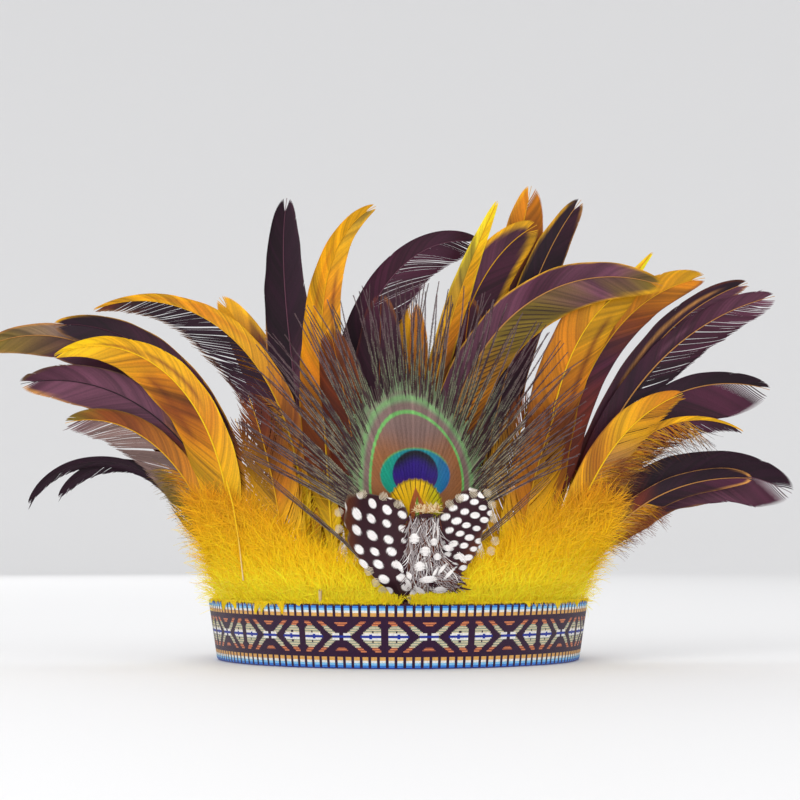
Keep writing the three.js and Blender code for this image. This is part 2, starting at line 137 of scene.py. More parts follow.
# The two sides of each vane from base to tip as colour and share of the length, then the rim on each
# side as colour, strength, breadth in mm and the shares of the length between which it shows, and the
# spine's colour. Left and right are those of one who looks from the base to the tip.
LOOKS = {
    "left_01": (
        "yellow .15 olive .3 night .45",
        "yellow .15 olive .3 night .45",
        "plum 0", "plum 0", "night",
    ),
    "left_02": (
        "yellow .15 brown .3 night .45",
        "yellow .15 brown .3 night .45",
        "plum 0", "plum 0", "night",
    ),
    "left_03": (
        "yellow .2 gold .32 olive .42 grey .56 grey .84 mauve 1",
        "yellow .2 gold .4 amber .54 brown .74 brown .86 olive .96",
        "grey .4", "olive .6", "gold",
    ),
    "left_04": (
        "yellow .22 gold .38 amber .5 brown .62 amber .74 gold .86 yellow .97",
        "yellow .22 gold .4 amber .52 gold .64 gold .82 yellow .95",
        "gold .6", "yellow .7", "yellow",
    ),
    "left_05": (
        "yellow .16 rust .32 night .42 plum .7 night .92",
        "yellow .16 rust .32 night .45 plum .62 night .9",
        "tan .5 1.2", "gold .9 1.4", "plum",
    ),
    "left_06": (
        "yellow .2 gold .34 amber .46 rust .54 mauve .64 mauve .92 plum 1",
        "yellow .2 gold .36 amber .48 mauve .6 mauve .85 plum 1",
        "tan 1 2", "olive .4", "night",
    ),
    "left_07": (
        "yellow .16 amber .34 rust .46 plum .6 plum .82 olive .96",
        "yellow .16 amber .34 brown .5 mauve .62 grey .78 olive .94",
        "tan .5", "tan 1 2", "tan",
    ),
    "left_08": ("yellow .3 gold .55 brown .9", "yellow .3 amber .6 brown .9", "gold 0", "gold 0", "gold"),
    "left_09": ("yellow .3 gold .5 brown .9", "yellow .3 amber .6 rust .9", "gold 0", "gold 0", "gold"),
    "left_10": (
        "yellow .16 amber .28 rust .4 plum .5 night .62 night .86 rust .98",
        "yellow .16 amber .3 brown .42 amber .52 gold .64 amber .76 gold .86 rust .98",
        "tan .4", "gold .6", "gold",
    ),
    "left_11": (
        "yellow .16 amber .32 rust .5 amber .7 gold .9",
        "yellow .16 amber .32 rust .5 night .66 brown .84 gold .96",
        "gold .5", "gold 1 2.6", "gold",
    ),
    "left_12": (
        "yellow .16 amber .28 plum .42 night .6 night 1",
        "yellow .16 amber .28 plum .42 mauve .54 night .72 night 1",
        "tan 1 1.4 .3 .72", "plum .3", "mauve",
    ),
    "left_13": (
        "yellow .16 rust .34 rust .7 brown 1",
        "yellow .16 rust .34 rust .7 brown 1",
        "amber .5", "amber .5", "amber",
    ),
    "left_14": (
        "yellow .18 rust .34 brown .45 amber .58 gold .7 gold 1",
        "yellow .18 rust .34 amber .5 gold .62 amber .76 gold .88 olive 1",
        "gold .7", "gold .6", "gold",
    ),
    "left_15": (
        "yellow .14 rust .28 plum .4 night .6 plum .8 night 1",
        "yellow .14 rust .28 plum .4 night .6 plum .8 night 1",
        "plum .2", "mauve .5", "mauve",
    ),
    "left_16": (
        "yellow .2 rust .34 rust .7 brown 1",
        "yellow .2 rust .34 rust .7 brown 1",
        "brown .4", "brown .4", "amber",
    ),
    "middle_01": (
        "yellow .16 rust .32 night .5 plum 1",
        "yellow .16 rust .32 night .5 plum 1",
        "brown .4", "amber .4", "brown",
    ),
    "middle_02": (
        "yellow .16 brown .4 amber .7 gold 1",
        "yellow .16 brown .4 amber .7 amber 1",
        "gold .6", "gold .6", "gold",
    ),
    "middle_03": (
        "yellow .16 rust .32 rust .6 plum 1",
        "yellow .16 rust .32 rust .6 plum 1",
        "amber .6", "amber .4", "amber",
    ),
    "right_01": (
        "yellow .16 rust .34 brown .5 gold .7 olive .84 lemon 1",
        "yellow .16 rust .34 brown .5 amber .7 gold .85 lemon 1",
        "lemon .5", "lemon .5", "gold",
    ),
    "right_02": (
        "yellow .14 rust .3 plum .48 mauve .75 plum .95",
        "yellow .14 rust .3 plum .48 plum .95",
        "gold 1 3.4", "gold 1 3.8", "gold",
    ),
    "right_03": (
        "yellow .14 rust .3 brown .5 amber .66 gold .8 amber .95",
        "yellow .14 rust .3 plum .5 plum .72 brown .86 amber .97",
        "gold .6", "amber .6 2.4", "gold",
    ),
    "right_04": (
        "yellow .14 rust .3 night .46 night 1",
        "yellow .14 rust .3 night .46 plum .7 night .85 plum 1",
        "gold 1 1.8 .5 1", "tan 1 1.4", "tan",
    ),
    "right_05": (
        "yellow .1 amber .2 plum .32 mauve .46 mauve .62 plum .76 mauve .88 olive .98",
        "yellow .1 rust .2 brown .32 amber .44 olive .6 olive .76 mauve .88 olive .97",
        "gold 1 1.6", "gold 1 2.2", "tan",
    ),
    "right_06": (
        "yellow .3 gold .55 brown .9",
        "yellow .3 amber .6 brown .9",
        "gold 0", "gold 0", "gold",
    ),
    "right_07": (
        "yellow .2 amber .5 tan .8 gold 1",
        "yellow .2 amber .5 tan .8 lemon 1",
        "lemon .5", "lemon .5", "gold",
    ),
    "right_08": (
        "yellow .3 amber .55 brown .9",
        "yellow .3 gold .6 brown .9",
        "gold 0", "gold 0", "gold",
    ),
    "right_09": (
        "yellow .16 amber .3 rust .42 amber .58 amber .76 gold .92",
        "yellow .16 amber .3 rust .44 brown .58 amber .7 gold .84 gold 1",
        "night .6 1.2 .4 .85", "gold .6", "yellow",
    ),
    "right_10": (
        "yellow .16 amber .3 rust .46 brown .64 amber .8 gold .96",
        "yellow .16 rust .3 rust .46 plum .6 brown .78 amber .95",
        "gold 1 2.2", "plum .5", "gold",
    ),
    "right_11": (
        "yellow .16 rust .3 plum .46 night 1",
        "yellow .16 rust .3 plum .46 plum .8 mauve 1",
        "brown .4", "tan .5", "tan",
    ),
    "right_12": (
        "yellow .3 gold .45 amber .6 gold .8 amber .97",
        "yellow .34 gold .5 tan .62 gold .78 amber .95",
        "brown .7 1.2 .4 .8", "gold .6", "yellow",
    ),
    "right_13": (
        "yellow .14 rust .26 plum .4 night .58 plum .8 mauve 1",
        "yellow .14 rust .26 night .4 night .6 plum .84 mauve 1",
        "plum .2", "gold .8 1.4 .3 .6", "tan",
    ),
    "right_14": (
        "yellow .16 brown .3 plum .42 night .6 night 1",
        "yellow .16 brown .3 rust .42 night .56 plum .85 night 1",
        "plum .2", "mauve .5", "tan",
    ),
    "right_15": (
        "yellow .26 gold .42 amber .56 gold .74 yellow 1",
        "yellow .26 gold .4 tan .52 rust .64 plum .8 night 1",
        "gold .9 2", "plum .3", "gold",
    ),
    "right_16": (
        "yellow .2 amber .34 rust .42 night .52 night 1",
        "yellow .2 amber .36 plum .5 mauve .7 plum 1",
        "plum .2", "tan .6 1.2 .3 .7", "mauve",
    ),
    "right_17": (
        "yellow .3 gold .4 rust .48 night .58 night 1",
        "yellow .3 gold .4 rust .48 night .58 plum 1",
        "tan 1 1.2", "tan 1 1.4", "tan",
    ),
}

# How sharp a tip is: 0 is round and 1 a point
POINTED = {
    "left_04": 0.8,
    "left_10": 0.9,
    "left_14": 0.4,
    "right_01": 0.6,
    "right_07": 0.8,
    "right_12": 0.5,
    "right_15": 0.9,
}

# Vanes with loose hair along the edge: feather, side (-1 left), how loose
HAIRY = {
    ("left_01", -1): 1.0, ("left_02", -1): 1.0, ("left_03", -1): 0.6, ("left_08", -1): 1.0,
    ("left_08", 1): 1.0, ("left_09", -1): 1.0, ("left_09", 1): 1.0, ("right_06", -1): 1.0,
    ("right_06", 1): 1.0, ("right_08", -1): 1.0, ("right_08", 1): 1.0, ("left_10", -1): 0.7,
    ("left_15", 1): 0.3, ("right_11", 1): 0.4, ("right_12", 1): 0.7, ("right_13", 1): 0.4,
    ("right_15", 1): 1.0,
}

# Splits in the vanes: feather, side, share of the length, opening in mm
SPLITS = [
    ("left_03", -1, 0.86, 3.0), ("left_06", 1, 0.97, 1.6), ("left_04", 1, 0.8, 1.2),
    ("left_07", -1, 0.82, 1.6), ("left_10", -1, 0.6, 1.6), ("left_10", -1, 0.7, 1.2),
    ("left_10", -1, 0.78, 1.6), ("left_10", 1, 0.8, 1.2), ("left_15", -1, 0.8, 1.4),
    ("left_15", 1, 0.86, 1.0), ("left_15", 1, 0.92, 1.2), ("right_05", 1, 0.5, 1.0),
    ("right_09", 1, 0.66, 1.6), ("right_09", 1, 0.86, 1.4), ("right_10", -1, 0.9, 1.2),
    ("right_11", -1, 0.82, 2.0), ("right_11", 1, 0.7, 1.6), ("right_13", 1, 0.62, 1.6),
    ("right_13", 1, 0.8, 2.2), ("right_13", 1, 0.92, 2.0), ("right_13", -1, 0.86, 1.4),
    ("right_14", -1, 0.7, 1.2), ("right_14", -1, 0.9, 2.0), ("right_15", 1, 0.72, 3.0),
    ("right_16", 1, 0.78, 1.2), ("right_16", -1, 0.88, 2.2),
]

# Streaks along the vanes: feather, side, from and to along the length, middle and half breadth as
# shares of the vane, colour
STREAKS = [
    ("left_04", 1, 0.5, 0.93, 0.34, 0.14, "brown"), ("left_04", -1, 0.42, 0.74, 0.6, 0.2, "brown"),
    ("left_06", -1, 0.36, 0.62, 0.1, 0.16, "night"), ("left_06", 1, 0.34, 0.6, 0.12, 0.16, "night"),
    ("left_10", 1, 0.56, 0.94, 0.5, 0.16, "amber"), ("left_14", -1, 0.5, 0.9, 0.4, 0.16, "amber"),
    ("left_14", 1, 0.45, 0.84, 0.6, 0.16, "brown"), ("right_03", -1, 0.5, 0.9, 0.34, 0.1, "brown"),
    ("right_03", -1, 0.5, 0.88, 0.66, 0.08, "brown"), ("right_09", 1, 0.48, 0.9, 0.55, 0.14, "brown"),
    ("right_11", -1, 0.5, 0.95, 0.45, 0.08, "tan"), ("right_13", -1, 0.5, 0.95, 0.5, 0.08, "mauve"),
    ("right_14", 1, 0.45, 0.92, 0.3, 0.05, "mauve"),
]

# Bars across the vanes: feather, side, from and to along the length, pitch in mm, strength, colour
BARS = [
    ("left_04", -1, 0.4, 0.8, 4.2, 0.4, "brown"),
    ("right_05", 1, 0.34, 0.84, 3.3, 0.75, "night"),
    ("right_12", -1, 0.35, 0.8, 3.0, 0.5, "brown"),
    ("right_16", 1, 0.5, 0.95, 3.6, 0.35, "night"),
]

# Dark-tipped hair at the base of some feathers: feather, side, from, to, reach in mm, colour at the tip
FRINGES = [
    ("left_03", -1, 0.2, 0.5, 16, "olive"),
    ("left_10", -1, 0.25, 0.45, 14, "rust"),
    ("right_12", 1, 0.24, 0.55, 20, "rust"),
    ("right_15", 1, 0.28, 0.8, 24, "night"),
    ("right_17", 1, 0.22, 0.5, 16, "rust"),
]


def smooth(value, low, high):
    share = np.clip((value - low) / (high - low), 0, 1)
    return share * share * (3 - 2 * share)


def mix(a, b, share):
    return a + (b - a) * share


def linear(colour):
    return np.asarray(colour, float) ** 2.2


def linear_palette(palette):
    return {name: linear(colour) for name, colour in palette.items()}


COLOUR = linear_palette(PALETTE)


def points_of(x, y, z):
    return np.stack([x, y, z], axis=-1)


def half_width(z):
    return BAND_HALF_WIDTH + BAND_FLARE * np.minimum(z, BAND_HEIGHT)


def half_depth(z):
    return BAND_HALF_DEPTH + BAND_FLARE * np.minimum(z, BAND_HEIGHT)


def wall(x, z, inset):
    a = half_width(z) - inset
    b = half_depth(z) - inset
    end = STEEP_SIDE * a
    u = np.minimum(np.abs(x), end) / a
    run = np.sqrt(1 - u * u)
    return -b * run + np.maximum(np.abs(x) - end, 0) * (b / a) * u / run * SLOPE_PAST_SIDE


def spray(x, z):
    swept = -SPRAY_FRONT + SPRAY_SWEEP * (1 - np.exp(-((x / SPRAY_REACH) ** 2)))
    share = smooth(z, BAND_HEIGHT, BAND_HEIGHT + SPRAY_RISE)
    return mix(wall(x, z, 0), swept, share) + SPRAY_LEAN * np.maximum(z - BAND_HEIGHT, 0)


def steepness(sheet, x, z):
    step = 0.5
    dx = (sheet(x + step, z) - sheet(x - step, z)) / (2 * step)
    dz = (sheet(x, z + step) - sheet(x, z - step)) / (2 * step)
    return np.sqrt(1 + dx * dx + dz * dz)


def layer_sheet(layer):
    def sheet(x, z):
        out = np.maximum(z - ROOT_HEIGHT, 0) + np.maximum(np.abs(x) - BAND_HALF_WIDTH, 0)
        gap = mix(*LAYER_GAP, smooth(out, 0, LAYER_SPREAD))
        y = spray(x, z) + layer * gap * np.minimum(steepness(spray, x, z), STEEPEST)
        return mix(wall(x, z, ROW_INSET), y, smooth(z, ROOT_HEIGHT, ROOT_HEIGHT + LAYER_RISE))

    return sheet


def front_sheet(forward):
    def sheet(x, z):
        share = smooth(z, ROOT_HEIGHT - 1, ROOT_HEIGHT - 1 + FRONT_RISE)
        return mix(wall(x, z, ROW_INSET), spray(x, z) - forward, share)

    return sheet


def down_sheet(x, z):
    share = smooth(z, BAND_HEIGHT + 0.5, BAND_HEIGHT + FRONT_RISE)
    return mix(wall(x, z, STRIP_INSET), spray(x, z) - DOWN_FORWARD, share)


class Spine:
    """The line of a feather from its root up, as places and angles from upright by share of its length."""

    STEPS = 240

    def __init__(self, x, z, start, end, bend, length):
        share = np.linspace(0, 1, self.STEPS + 1)
        middle = (share[1:] + share[:-1]) / 2
        turned = np.radians(start + (end - start) * middle**bend)
        self.share = share
        self.x = x + np.concatenate([[0], np.cumsum(np.sin(turned))]) * length / self.STEPS
        self.z = z + np.concatenate([[0], np.cumsum(np.cos(turned))]) * length / self.STEPS
        self.angle = np.radians(start + (end - start) * share**bend)
        self.length = length

    def at(self, share):
        x = np.interp(share, self.share, self.x)
        z = np.interp(share, self.share, self.z)
        angle = np.interp(share, self.share, self.angle)
        past = np.minimum(share, 0) * self.length
        return x + np.sin(angle) * past, z + np.cos(angle) * past, angle


def along_frame(centres):
    """Directions along and across lines of points."""
    along = np.gradient(centres, axis=-2)
    along /= np.maximum(np.linalg.norm(along, axis=-1, keepdims=True), 1e-6)
    across = np.cross(along, [0.0, 1.0, 0.0])
    across /= np.maximum(np.linalg.norm(across, axis=-1, keepdims=True), 1e-6)
    return along, across


class Shape:
    """Gathers flat strips, tubes and grids into one mesh with a colour at each vertex."""

    def __init__(self):
        self.points = []
        self.faces = []
        self.colours = []
        self.count = 0

    def grid(self, points, colours):
        self.many(points[None], colours[None])

    def many(self, points, colours, closed=False):
        """Grids of the same size: points and colours are numbered by grid, row and column."""
        grids, rows, columns, _ = points.shape
        number = np.arange(grids * rows * columns).reshape(grids, rows, columns) + self.count
        if closed:
            number = np.concatenate([number, number[:, :, :1]], axis=2)
        low = number[:, :-1]
        high = number[:, 1:]
        quads = np.stack([low[..., :-1], low[..., 1:], high[..., 1:], high[..., :-1]], axis=-1)
        self.points.append(points.reshape(-1, 3))
        self.colours.append(np.broadcast_to(colours, points.shape).reshape(-1, 3))
        self.faces.append(quads.reshape(-1, 4))
        self.count += grids * rows * columns

    def strips(self, centres, sides, colours):
        """Flat strips: centre lines by strip and point, and the vector from each to the strip's edge."""
        points = np.stack([centres - sides, centres + sides], axis=2)
        self.many(points, np.repeat(colours[:, :, None, :], 2, axis=2))

    def tube(self, line, radii, colours, sides=6):
        along, across = along_frame(line)
        out = np.cross(across, along)
        turn = np.arange(sides) / sides * 2 * np.pi
        ring = across[:, None] * np.cos(turn)[None, :, None] + out[:, None] * np.sin(turn)[None, :, None]
        points = line[:, None] + ring * np.asarray(radii)[:, None, None]
        self.many(points[None], np.broadcast_to(colours, line.shape)[None, :, None, :], closed=True)

    def build(self, name, material, slot, node):
        colours = np.concatenate(self.colours)
        build_piece(name, self.points, self.faces, colours, "POINT", material, slot, node)


def build_piece(name, points, faces, colours, domain, material, slot, node, threads=None):
    """A mesh piece from lists of points in mm and of faces, with a colour for each vertex or corner."""
    points = np.concatenate(points) * MM
    faces = np.concatenate(faces)
    mesh = bpy.data.meshes.new(name)
    mesh.vertices.add(len(points))
    mesh.vertices.foreach_set("co", points.ravel())
    mesh.loops.add(faces.size)
    mesh.loops.foreach_set("vertex_index", faces.ravel())
    mesh.polygons.add(len(faces))
    mesh.polygons.foreach_set("loop_start", np.arange(len(faces)) * 4)
    mesh.polygons.foreach_set("use_smooth", np.ones(len(faces), bool))
    mesh.update(calc_edges=True)
    rgba = np.concatenate([np.clip(colours, 0, 1), np.ones((len(colours), 1))], axis=1)
    mesh.color_attributes.new("Col", "FLOAT_COLOR", domain).data.foreach_set("color", rgba.ravel())
    if threads is not None:
        mesh.uv_layers.new(name="threads").data.foreach_set("uv", threads.ravel())
    mesh.validate()
    mesh.materials.append(material)
    piece = bpy.data.objects.new(name, mesh)
    bpy.context.scene.collection.objects.link(piece)
    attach(piece, "root")
    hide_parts(node)


# Materials


def add_node(material, kind, sources, operation=None, **values):
    """A node with outputs linked to its inputs by name, and values by name with _ for a space."""
    made = material.node_tree.nodes.new("ShaderNode" + kind)
    if operation:
        made.operation = operation
    for name, value in values.items():
        made.inputs[name.replace("_", " ")].default_value = value
    feed(material, made, sources)
    return made


def feed(material, node, sources):
    for name, output in sources.items():
        material.node_tree.links.new(output, node.inputs[name])


def coloured(name, rough, grain, relief, speckle, sheen=0.0, sheen_tint=(1, 1, 1, 1)):
    """The vertex colour broken up by fine noise, with relief and an uneven gloss."""
    material = bpy.data.materials.new(name)
    material.use_nodes = True
    shader = material.node_tree.nodes["Principled BSDF"]
    shader.inputs["Specular IOR Level"].default_value = 0.25
    shader.inputs["Sheen Weight"].default_value = sheen
    shader.inputs["Sheen Tint"].default_value = sheen_tint
    colour = add_node(material, "Attribute", {})
    colour.attribute_name = "Col"
    place = add_node(material, "TexCoord", {})
    noise = add_node(material, "TexNoise", {"Vector": place.outputs["Object"]}, Scale=grain, Detail=3.0)
    fine = noise.outputs["Fac"]
    ends = {"From_Min": 0.25, "From_Max": 0.75, "To_Min": 1 - speckle, "To_Max": 1 + speckle}
    tone = add_node(material, "MapRange", {"Value": fine}, **ends)
    scaling = {"Vector": colour.outputs["Color"], "Scale": tone.outputs["Result"]}
    scaled = add_node(material, "VectorMath", scaling, "SCALE")
    gloss = add_node(material, "MapRange", {"Value": fine}, To_Min=rough[0], To_Max=rough[1])
    bump = add_node(material, "Bump", {"Height": fine}, Strength=relief, Distance=0.0003)
    feed(material, shader, {"Base Color": scaled.outputs["Vector"], "Roughness": gloss.outputs["Result"]})
    feed(material, shader, {"Normal": bump.outputs["Normal"]})
    return material


VANE = coloured("feather_vane", (0.42, 0.62), 1400.0, 0.2, 0.1, 0.06, (1.0, 0.8, 0.6, 1))
HERL = coloured("peacock_herl", (0.32, 0.5), 1600.0, 0.25, 0.12, 0.1, (0.8, 1.0, 0.7, 1))
GUINEA = coloured("guinea_vane", (0.5, 0.7), 1600.0, 0.2, 0.08)
DOWN = coloured("yellow_down", (0.7, 0.9), 1200.0, 0.1, 0.1, 0.3, (1.0, 0.9, 0.4, 1))


def ramp(stops, share):
    """Colours along a row of names and shares such as 'yellow .2 amber .5'."""
    words = stops.split()
    places = [float(word) for word in words[1::2]]
    colours = np.array([COLOUR[word] for word in words[::2]])
    return np.stack([np.interp(share, places, colours[:, i]) for i in range(3)], axis=-1)


def wander(count, reach):
    """A row of random values that drift, about -1 to 1, each like its neighbours within the reach."""
    raw = rng.normal(size=count + 6 * reach)
    kernel = np.exp(-0.5 * (np.arange(-3 * reach, 3 * reach + 1) / reach) ** 2)
    drift = np.convolve(raw, kernel, "same")[3 * reach : 3 * reach + count]
    return drift / np.sqrt((kernel**2).sum())


BARB_PITCH = 0.42
BARB_POINTS = 7
BARB_HALF = 0.25
BARB_SLANT = 1.7
BARB_LEAST_RUN = 4.0
VANE_START = 0.1
RIM_BREADTH = 1.6
QUILL_RADII = (0.62, 0.12)
FLUFF_STRANDS = 130
FLUFF_REACH = 17.0
FRINGE_STRANDS = 260


def vane_share(share, tip, pointed):
    """Breadth of the vane along its length, as a share of the broadest."""
    grown = smooth(share, 0.06, 0.4)
    past = np.maximum(share - (1 - tip), 0) / tip
    blunt = np.sqrt(np.maximum(1 - past * past, 0))
    sharp = np.maximum(1 - past**1.15, 0)
    return 0.06 + 0.94 * grown * mix(blunt, sharp, pointed)


def rim_strength(rim, from_edge, ends):
    """How much of the rim's colour shows, for a rim such as 'gold .9 1.6 .3 1'."""
    words = [float(word) for word in rim.split()[1:]]
    strength = words[0]
    breadth = words[1] if len(words) > 1 else RIM_BREADTH
    first, last = words[2:] if len(words) > 2 else (0.3, 1.2)
    along = smooth(ends, first, first + 0.1) * smooth(ends, last, last - 0.06)
    return strength * smooth(from_edge, breadth, 0.5 * breadth) * along[:, None]


def vane(shape, spine, sheet, side, width, tip, name, stops, rim):
    """One half of a vane: barbs that leave the spine, bend towards the tip and end on the vane's edge."""
    hairy = HAIRY.get((name, side), 0.0)
    count = int(spine.length * (1 - VANE_START) / BARB_PITCH)
    ends = np.linspace(VANE_START, 0.998, count)
    full = width * vane_share(ends, tip, POINTED.get(name, 0.0)) * (1 + 0.02 * wander(count, 9))
    full = full * (1 + hairy * 0.07 * rng.normal(size=count))
    back = full * BARB_SLANT + BARB_LEAST_RUN + 0.3 * wander(count, 12)
    roots = np.maximum(ends - back / spine.length, 0.015)
    t = np.linspace(0, 1, BARB_POINTS)[None, :]
    share = roots[:, None] + (ends - roots)[:, None] * t
    away = full[:, None] * (1 - (1 - t) ** 1.4)
    for feather, split_side, place, opening in SPLITS:
        if (feather, split_side) == (name, side):
            shift = np.sign(ends - place) * np.exp(-np.abs(ends - place) * spine.length / 9)
            share = share + (opening / 2 / spine.length) * shift[:, None] * t**2
            away = away * (1 - 0.05 * np.abs(shift)[:, None] * t**2)
    loose = rng.random(count) < 0.02 + 0.3 * hairy
    stray = np.where(loose, rng.normal(size=count) * (0.9 + hairy) / spine.length, 0)
    share = share + stray[:, None] * t**2
    x, z, angle = spine.at(np.minimum(share, 1))
    past = np.maximum(share - 1, 0) * spine.length
    x = x + np.sin(angle) * past + side * np.cos(angle) * away
    z = z + np.cos(angle) * past - side * np.sin(angle) * away
    lift = (away / max(width, 1)) ** 2 + 0.1 * wander(count, 5)[:, None] * t**2
    centres = points_of(x, sheet(x, z) + lift, z)
    _, across = along_frame(centres)
    half = BARB_HALF * (1 - 0.35 * hairy * smooth(t, 0.3, 0.7)) * (1 - 0.8 * smooth(t, 0.8, 1.0))
    sides = across * half[..., None]
    sides[..., 1] += side * 0.05
    blotch = 0.02 * wander(count, 30)[:, None] + 0.01 * wander(count, 4)[:, None]
    colours = ramp(stops, 0.55 * share + 0.45 * ends[:, None] + blotch)
    over = np.clip(away / full[:, None], 0, 1)
    for feather, streak_side, first, last, middle, breadth, tint in STREAKS:
        if (feather, streak_side) == (name, side):
            drift = middle + 0.04 * wander(count, 20)[:, None]
            mark = smooth(np.abs(over - drift), breadth, 0.4 * breadth)
            mark = mark * smooth(share, first, first + 0.08) * smooth(share, last, last - 0.08)
            colours = mix(colours, COLOUR[tint], 0.8 * mark[..., None])
    for feather, bar_side, first, last, pitch, strength, tint in BARS:
        if (feather, bar_side) == (name, side):
            turn = 2 * np.pi * ends * spine.length / pitch + 0.7 * wander(count, 6)
            mark = smooth(np.cos(turn), 0.1, 0.8)[:, None]
            mark = mark * smooth(over, 0.02, 0.2) * smooth(over, 0.95, 0.7)
            mark = mark * (smooth(ends, first, first + 0.06) * smooth(ends, last, last - 0.06))[:, None]
            colours = mix(colours, COLOUR[tint], strength * mark[..., None])
    from_edge = (1 - t) * np.hypot(back, full)[:, None] * 0.55
    colours = mix(colours, COLOUR[rim.split()[0]], rim_strength(rim, from_edge, ends)[..., None])
    # Brightness that differs from barb to barb: partly the barbs' own random tone, partly painted sheen and
    # painted light on the folds of the vane.
    tone = 1 + 0.12 * wander(count, 1) + 0.1 * wander(count, 3) + 0.12 * wander(count, 9)
    colours = colours * np.clip(tone, 0.5, 1.5)[:, None, None]
    shape.strips(centres, sides, colours)


def curved(x, z, angle, bend, length, t):
    """Strands from a foot, turning from an angle from upright by a bend, as x and z at each share t."""
    count = len(x)
    step = length[:, None] / (t.shape[1] - 1)
    turned = angle[:, None] + bend[:, None] * t[:, 1:]
    start = np.zeros((count, 1))
    px = x[:, None] + np.concatenate([start, np.cumsum(np.sin(turned) * step, axis=1)], axis=1)
    pz = z[:, None] + np.concatenate([start, np.cumsum(np.cos(turned) * step, axis=1)], axis=1)
    return px, pz


def strand(shape, centres, half, colours):
    """Thin tapered strands with a colour for each, or for each point of each."""
    count, points, _ = centres.shape
    _, across = along_frame(centres)
    tilt = rng.uniform(-0.8, 0.8, count)[:, None]
    t = np.linspace(0, 1, points)[None, :]
    width = half * (1 - 0.75 * t)
    sides = across * width[..., None]
    sides[..., 1] += tilt * width
    tone = rng.uniform(0.85, 1.12, count)
    if colours.ndim == 2:
        colours = colours[:, None, :]
    # Each strand also brightens from root to tip: painted light for its thin translucent tips; the tone per
    # strand is random.
    colours = colours * tone[:, None, None] * (0.9 + 0.14 * t)[..., None]
    shape.strips(centres, sides, np.broadcast_to(colours, centres.shape))


def picked(names, count):
    return np.array([COLOUR[name] for name in names])[rng.integers(0, len(names), count)]


def fluff(shape, spine, sheet, count, reach):
    """Loose yellow down on the lowest third of a feather."""
    share = rng.uniform(0.01, 0.3, count)
    side = rng.choice([-1, 1], count)
    length = reach * rng.uniform(0.5, 1.1, count) * (1 - 0.6 * smooth(share, 0.2, 0.3))
    x, z, angle = spine.at(share)
    leaning = angle + side * np.radians(rng.uniform(28, 75, count))
    bend = side * np.radians(rng.uniform(-70, 25, count))
    t = np.linspace(0, 1, 5)[None, :]
    px, pz = curved(x, z, leaning, bend, length, t)
    pz = np.maximum(pz, BAND_HEIGHT - 1)
    py = sheet(px, pz) - 1.5 * rng.uniform(-0.5, 1, count)[:, None] * np.sin(t * 2.2)
    strand(shape, points_of(px, py, pz), 0.12, picked(("lemon", "yellow", "gold"), count))


def fringe(shape, spine, sheet, side, first, last, reach, tip_colour):
    """Loose hair on one side of a feather, tan at its foot and dark at its tip."""
    count = FRINGE_STRANDS
    share = rng.uniform(first, last, count)
    x, z, angle = spine.at(share)
    leaning = angle + side * np.radians(rng.uniform(30, 62, count))
    bend = side * np.radians(rng.uniform(-10, 35, count))
    length = reach * rng.uniform(0.55, 1.05, count)
    t = np.linspace(0, 1, 6)[None, :]
    px, pz = curved(x, z, leaning, bend, length, t)
    pz = np.maximum(pz, BAND_HEIGHT - 1)
    py = sheet(px, pz) - rng.uniform(-0.6, 1.4, count)[:, None] * np.sin(t * 2.4)
    foot = picked(("gold", "tan", "amber"), count)[:, None]
    colours = mix(foot, COLOUR[tip_colour], smooth(t, 0.35, 0.85)[..., None])
    strand(shape, points_of(px, py, pz), 0.15, colours)


FEATHER_SLOT = {"gold": "gold_feather", "dark": "dark_feather", "two_tone": "two_tone_feather"}


def cock_feather(row):
    name, root, start, end, bend, length, width, left, tip, layer, tone = row
    sheet = layer_sheet(layer)
    x = root * BAND_HALF_WIDTH
    spine = Spine(x, ROOT_HEIGHT, start, end, bend, length * LONGEST_FEATHER)
    shape = Shape()
    left_stops, right_stops, left_rim, right_rim, quill = LOOKS[name]
    full = width * BROADEST_VANE
    vane(shape, spine, sheet, -1, full * left, tip, name, left_stops, left_rim)
    vane(shape, spine, sheet, 1, full * (1 - left), tip, name, right_stops, right_rim)
    share = np.linspace(0, 1, 70)
    sx, sz, _ = spine.at(share)
    foot_x = x * (half_width(QUILL_FOOT) - ROW_INSET) / (half_width(ROOT_HEIGHT) - ROW_INSET)
    low = np.linspace(0, 1, 8)[:-1]
    px = np.concatenate([mix(foot_x, x, low), sx])
    pz = np.concatenate([mix(QUILL_FOOT, ROOT_HEIGHT, low), sz])
    grown = np.concatenate([np.zeros(len(low)), share])
    py = sheet(px, pz) - 0.3 * smooth(grown, 0.02, 0.2)
    radius = mix(*QUILL_RADII, grown**0.8) * mix(0.75, 1, smooth(width, 0.2, 0.7))
    colours = mix(COLOUR["cream"], COLOUR["yellow"], smooth(grown, 0, 0.05)[:, None])
    colours = mix(colours, COLOUR[quill], smooth(grown, 0.2, 0.45)[:, None])
    shape.tube(points_of(px, py, pz), radius, colours)
    fluff(shape, spine, sheet, FLUFF_STRANDS, FLUFF_REACH)
    for feather, *rest in FRINGES:
        if feather == name:
            fringe(shape, spine, sheet, *rest)
    shape.build("dressed_" + name, VANE, FEATHER_SLOT[tone], "cock_feather_" + name)


for feather in COCK_FEATHERS:
    cock_feather(feather)


# Peacock feather: the eye in zones round its middle, and herls that go on past it

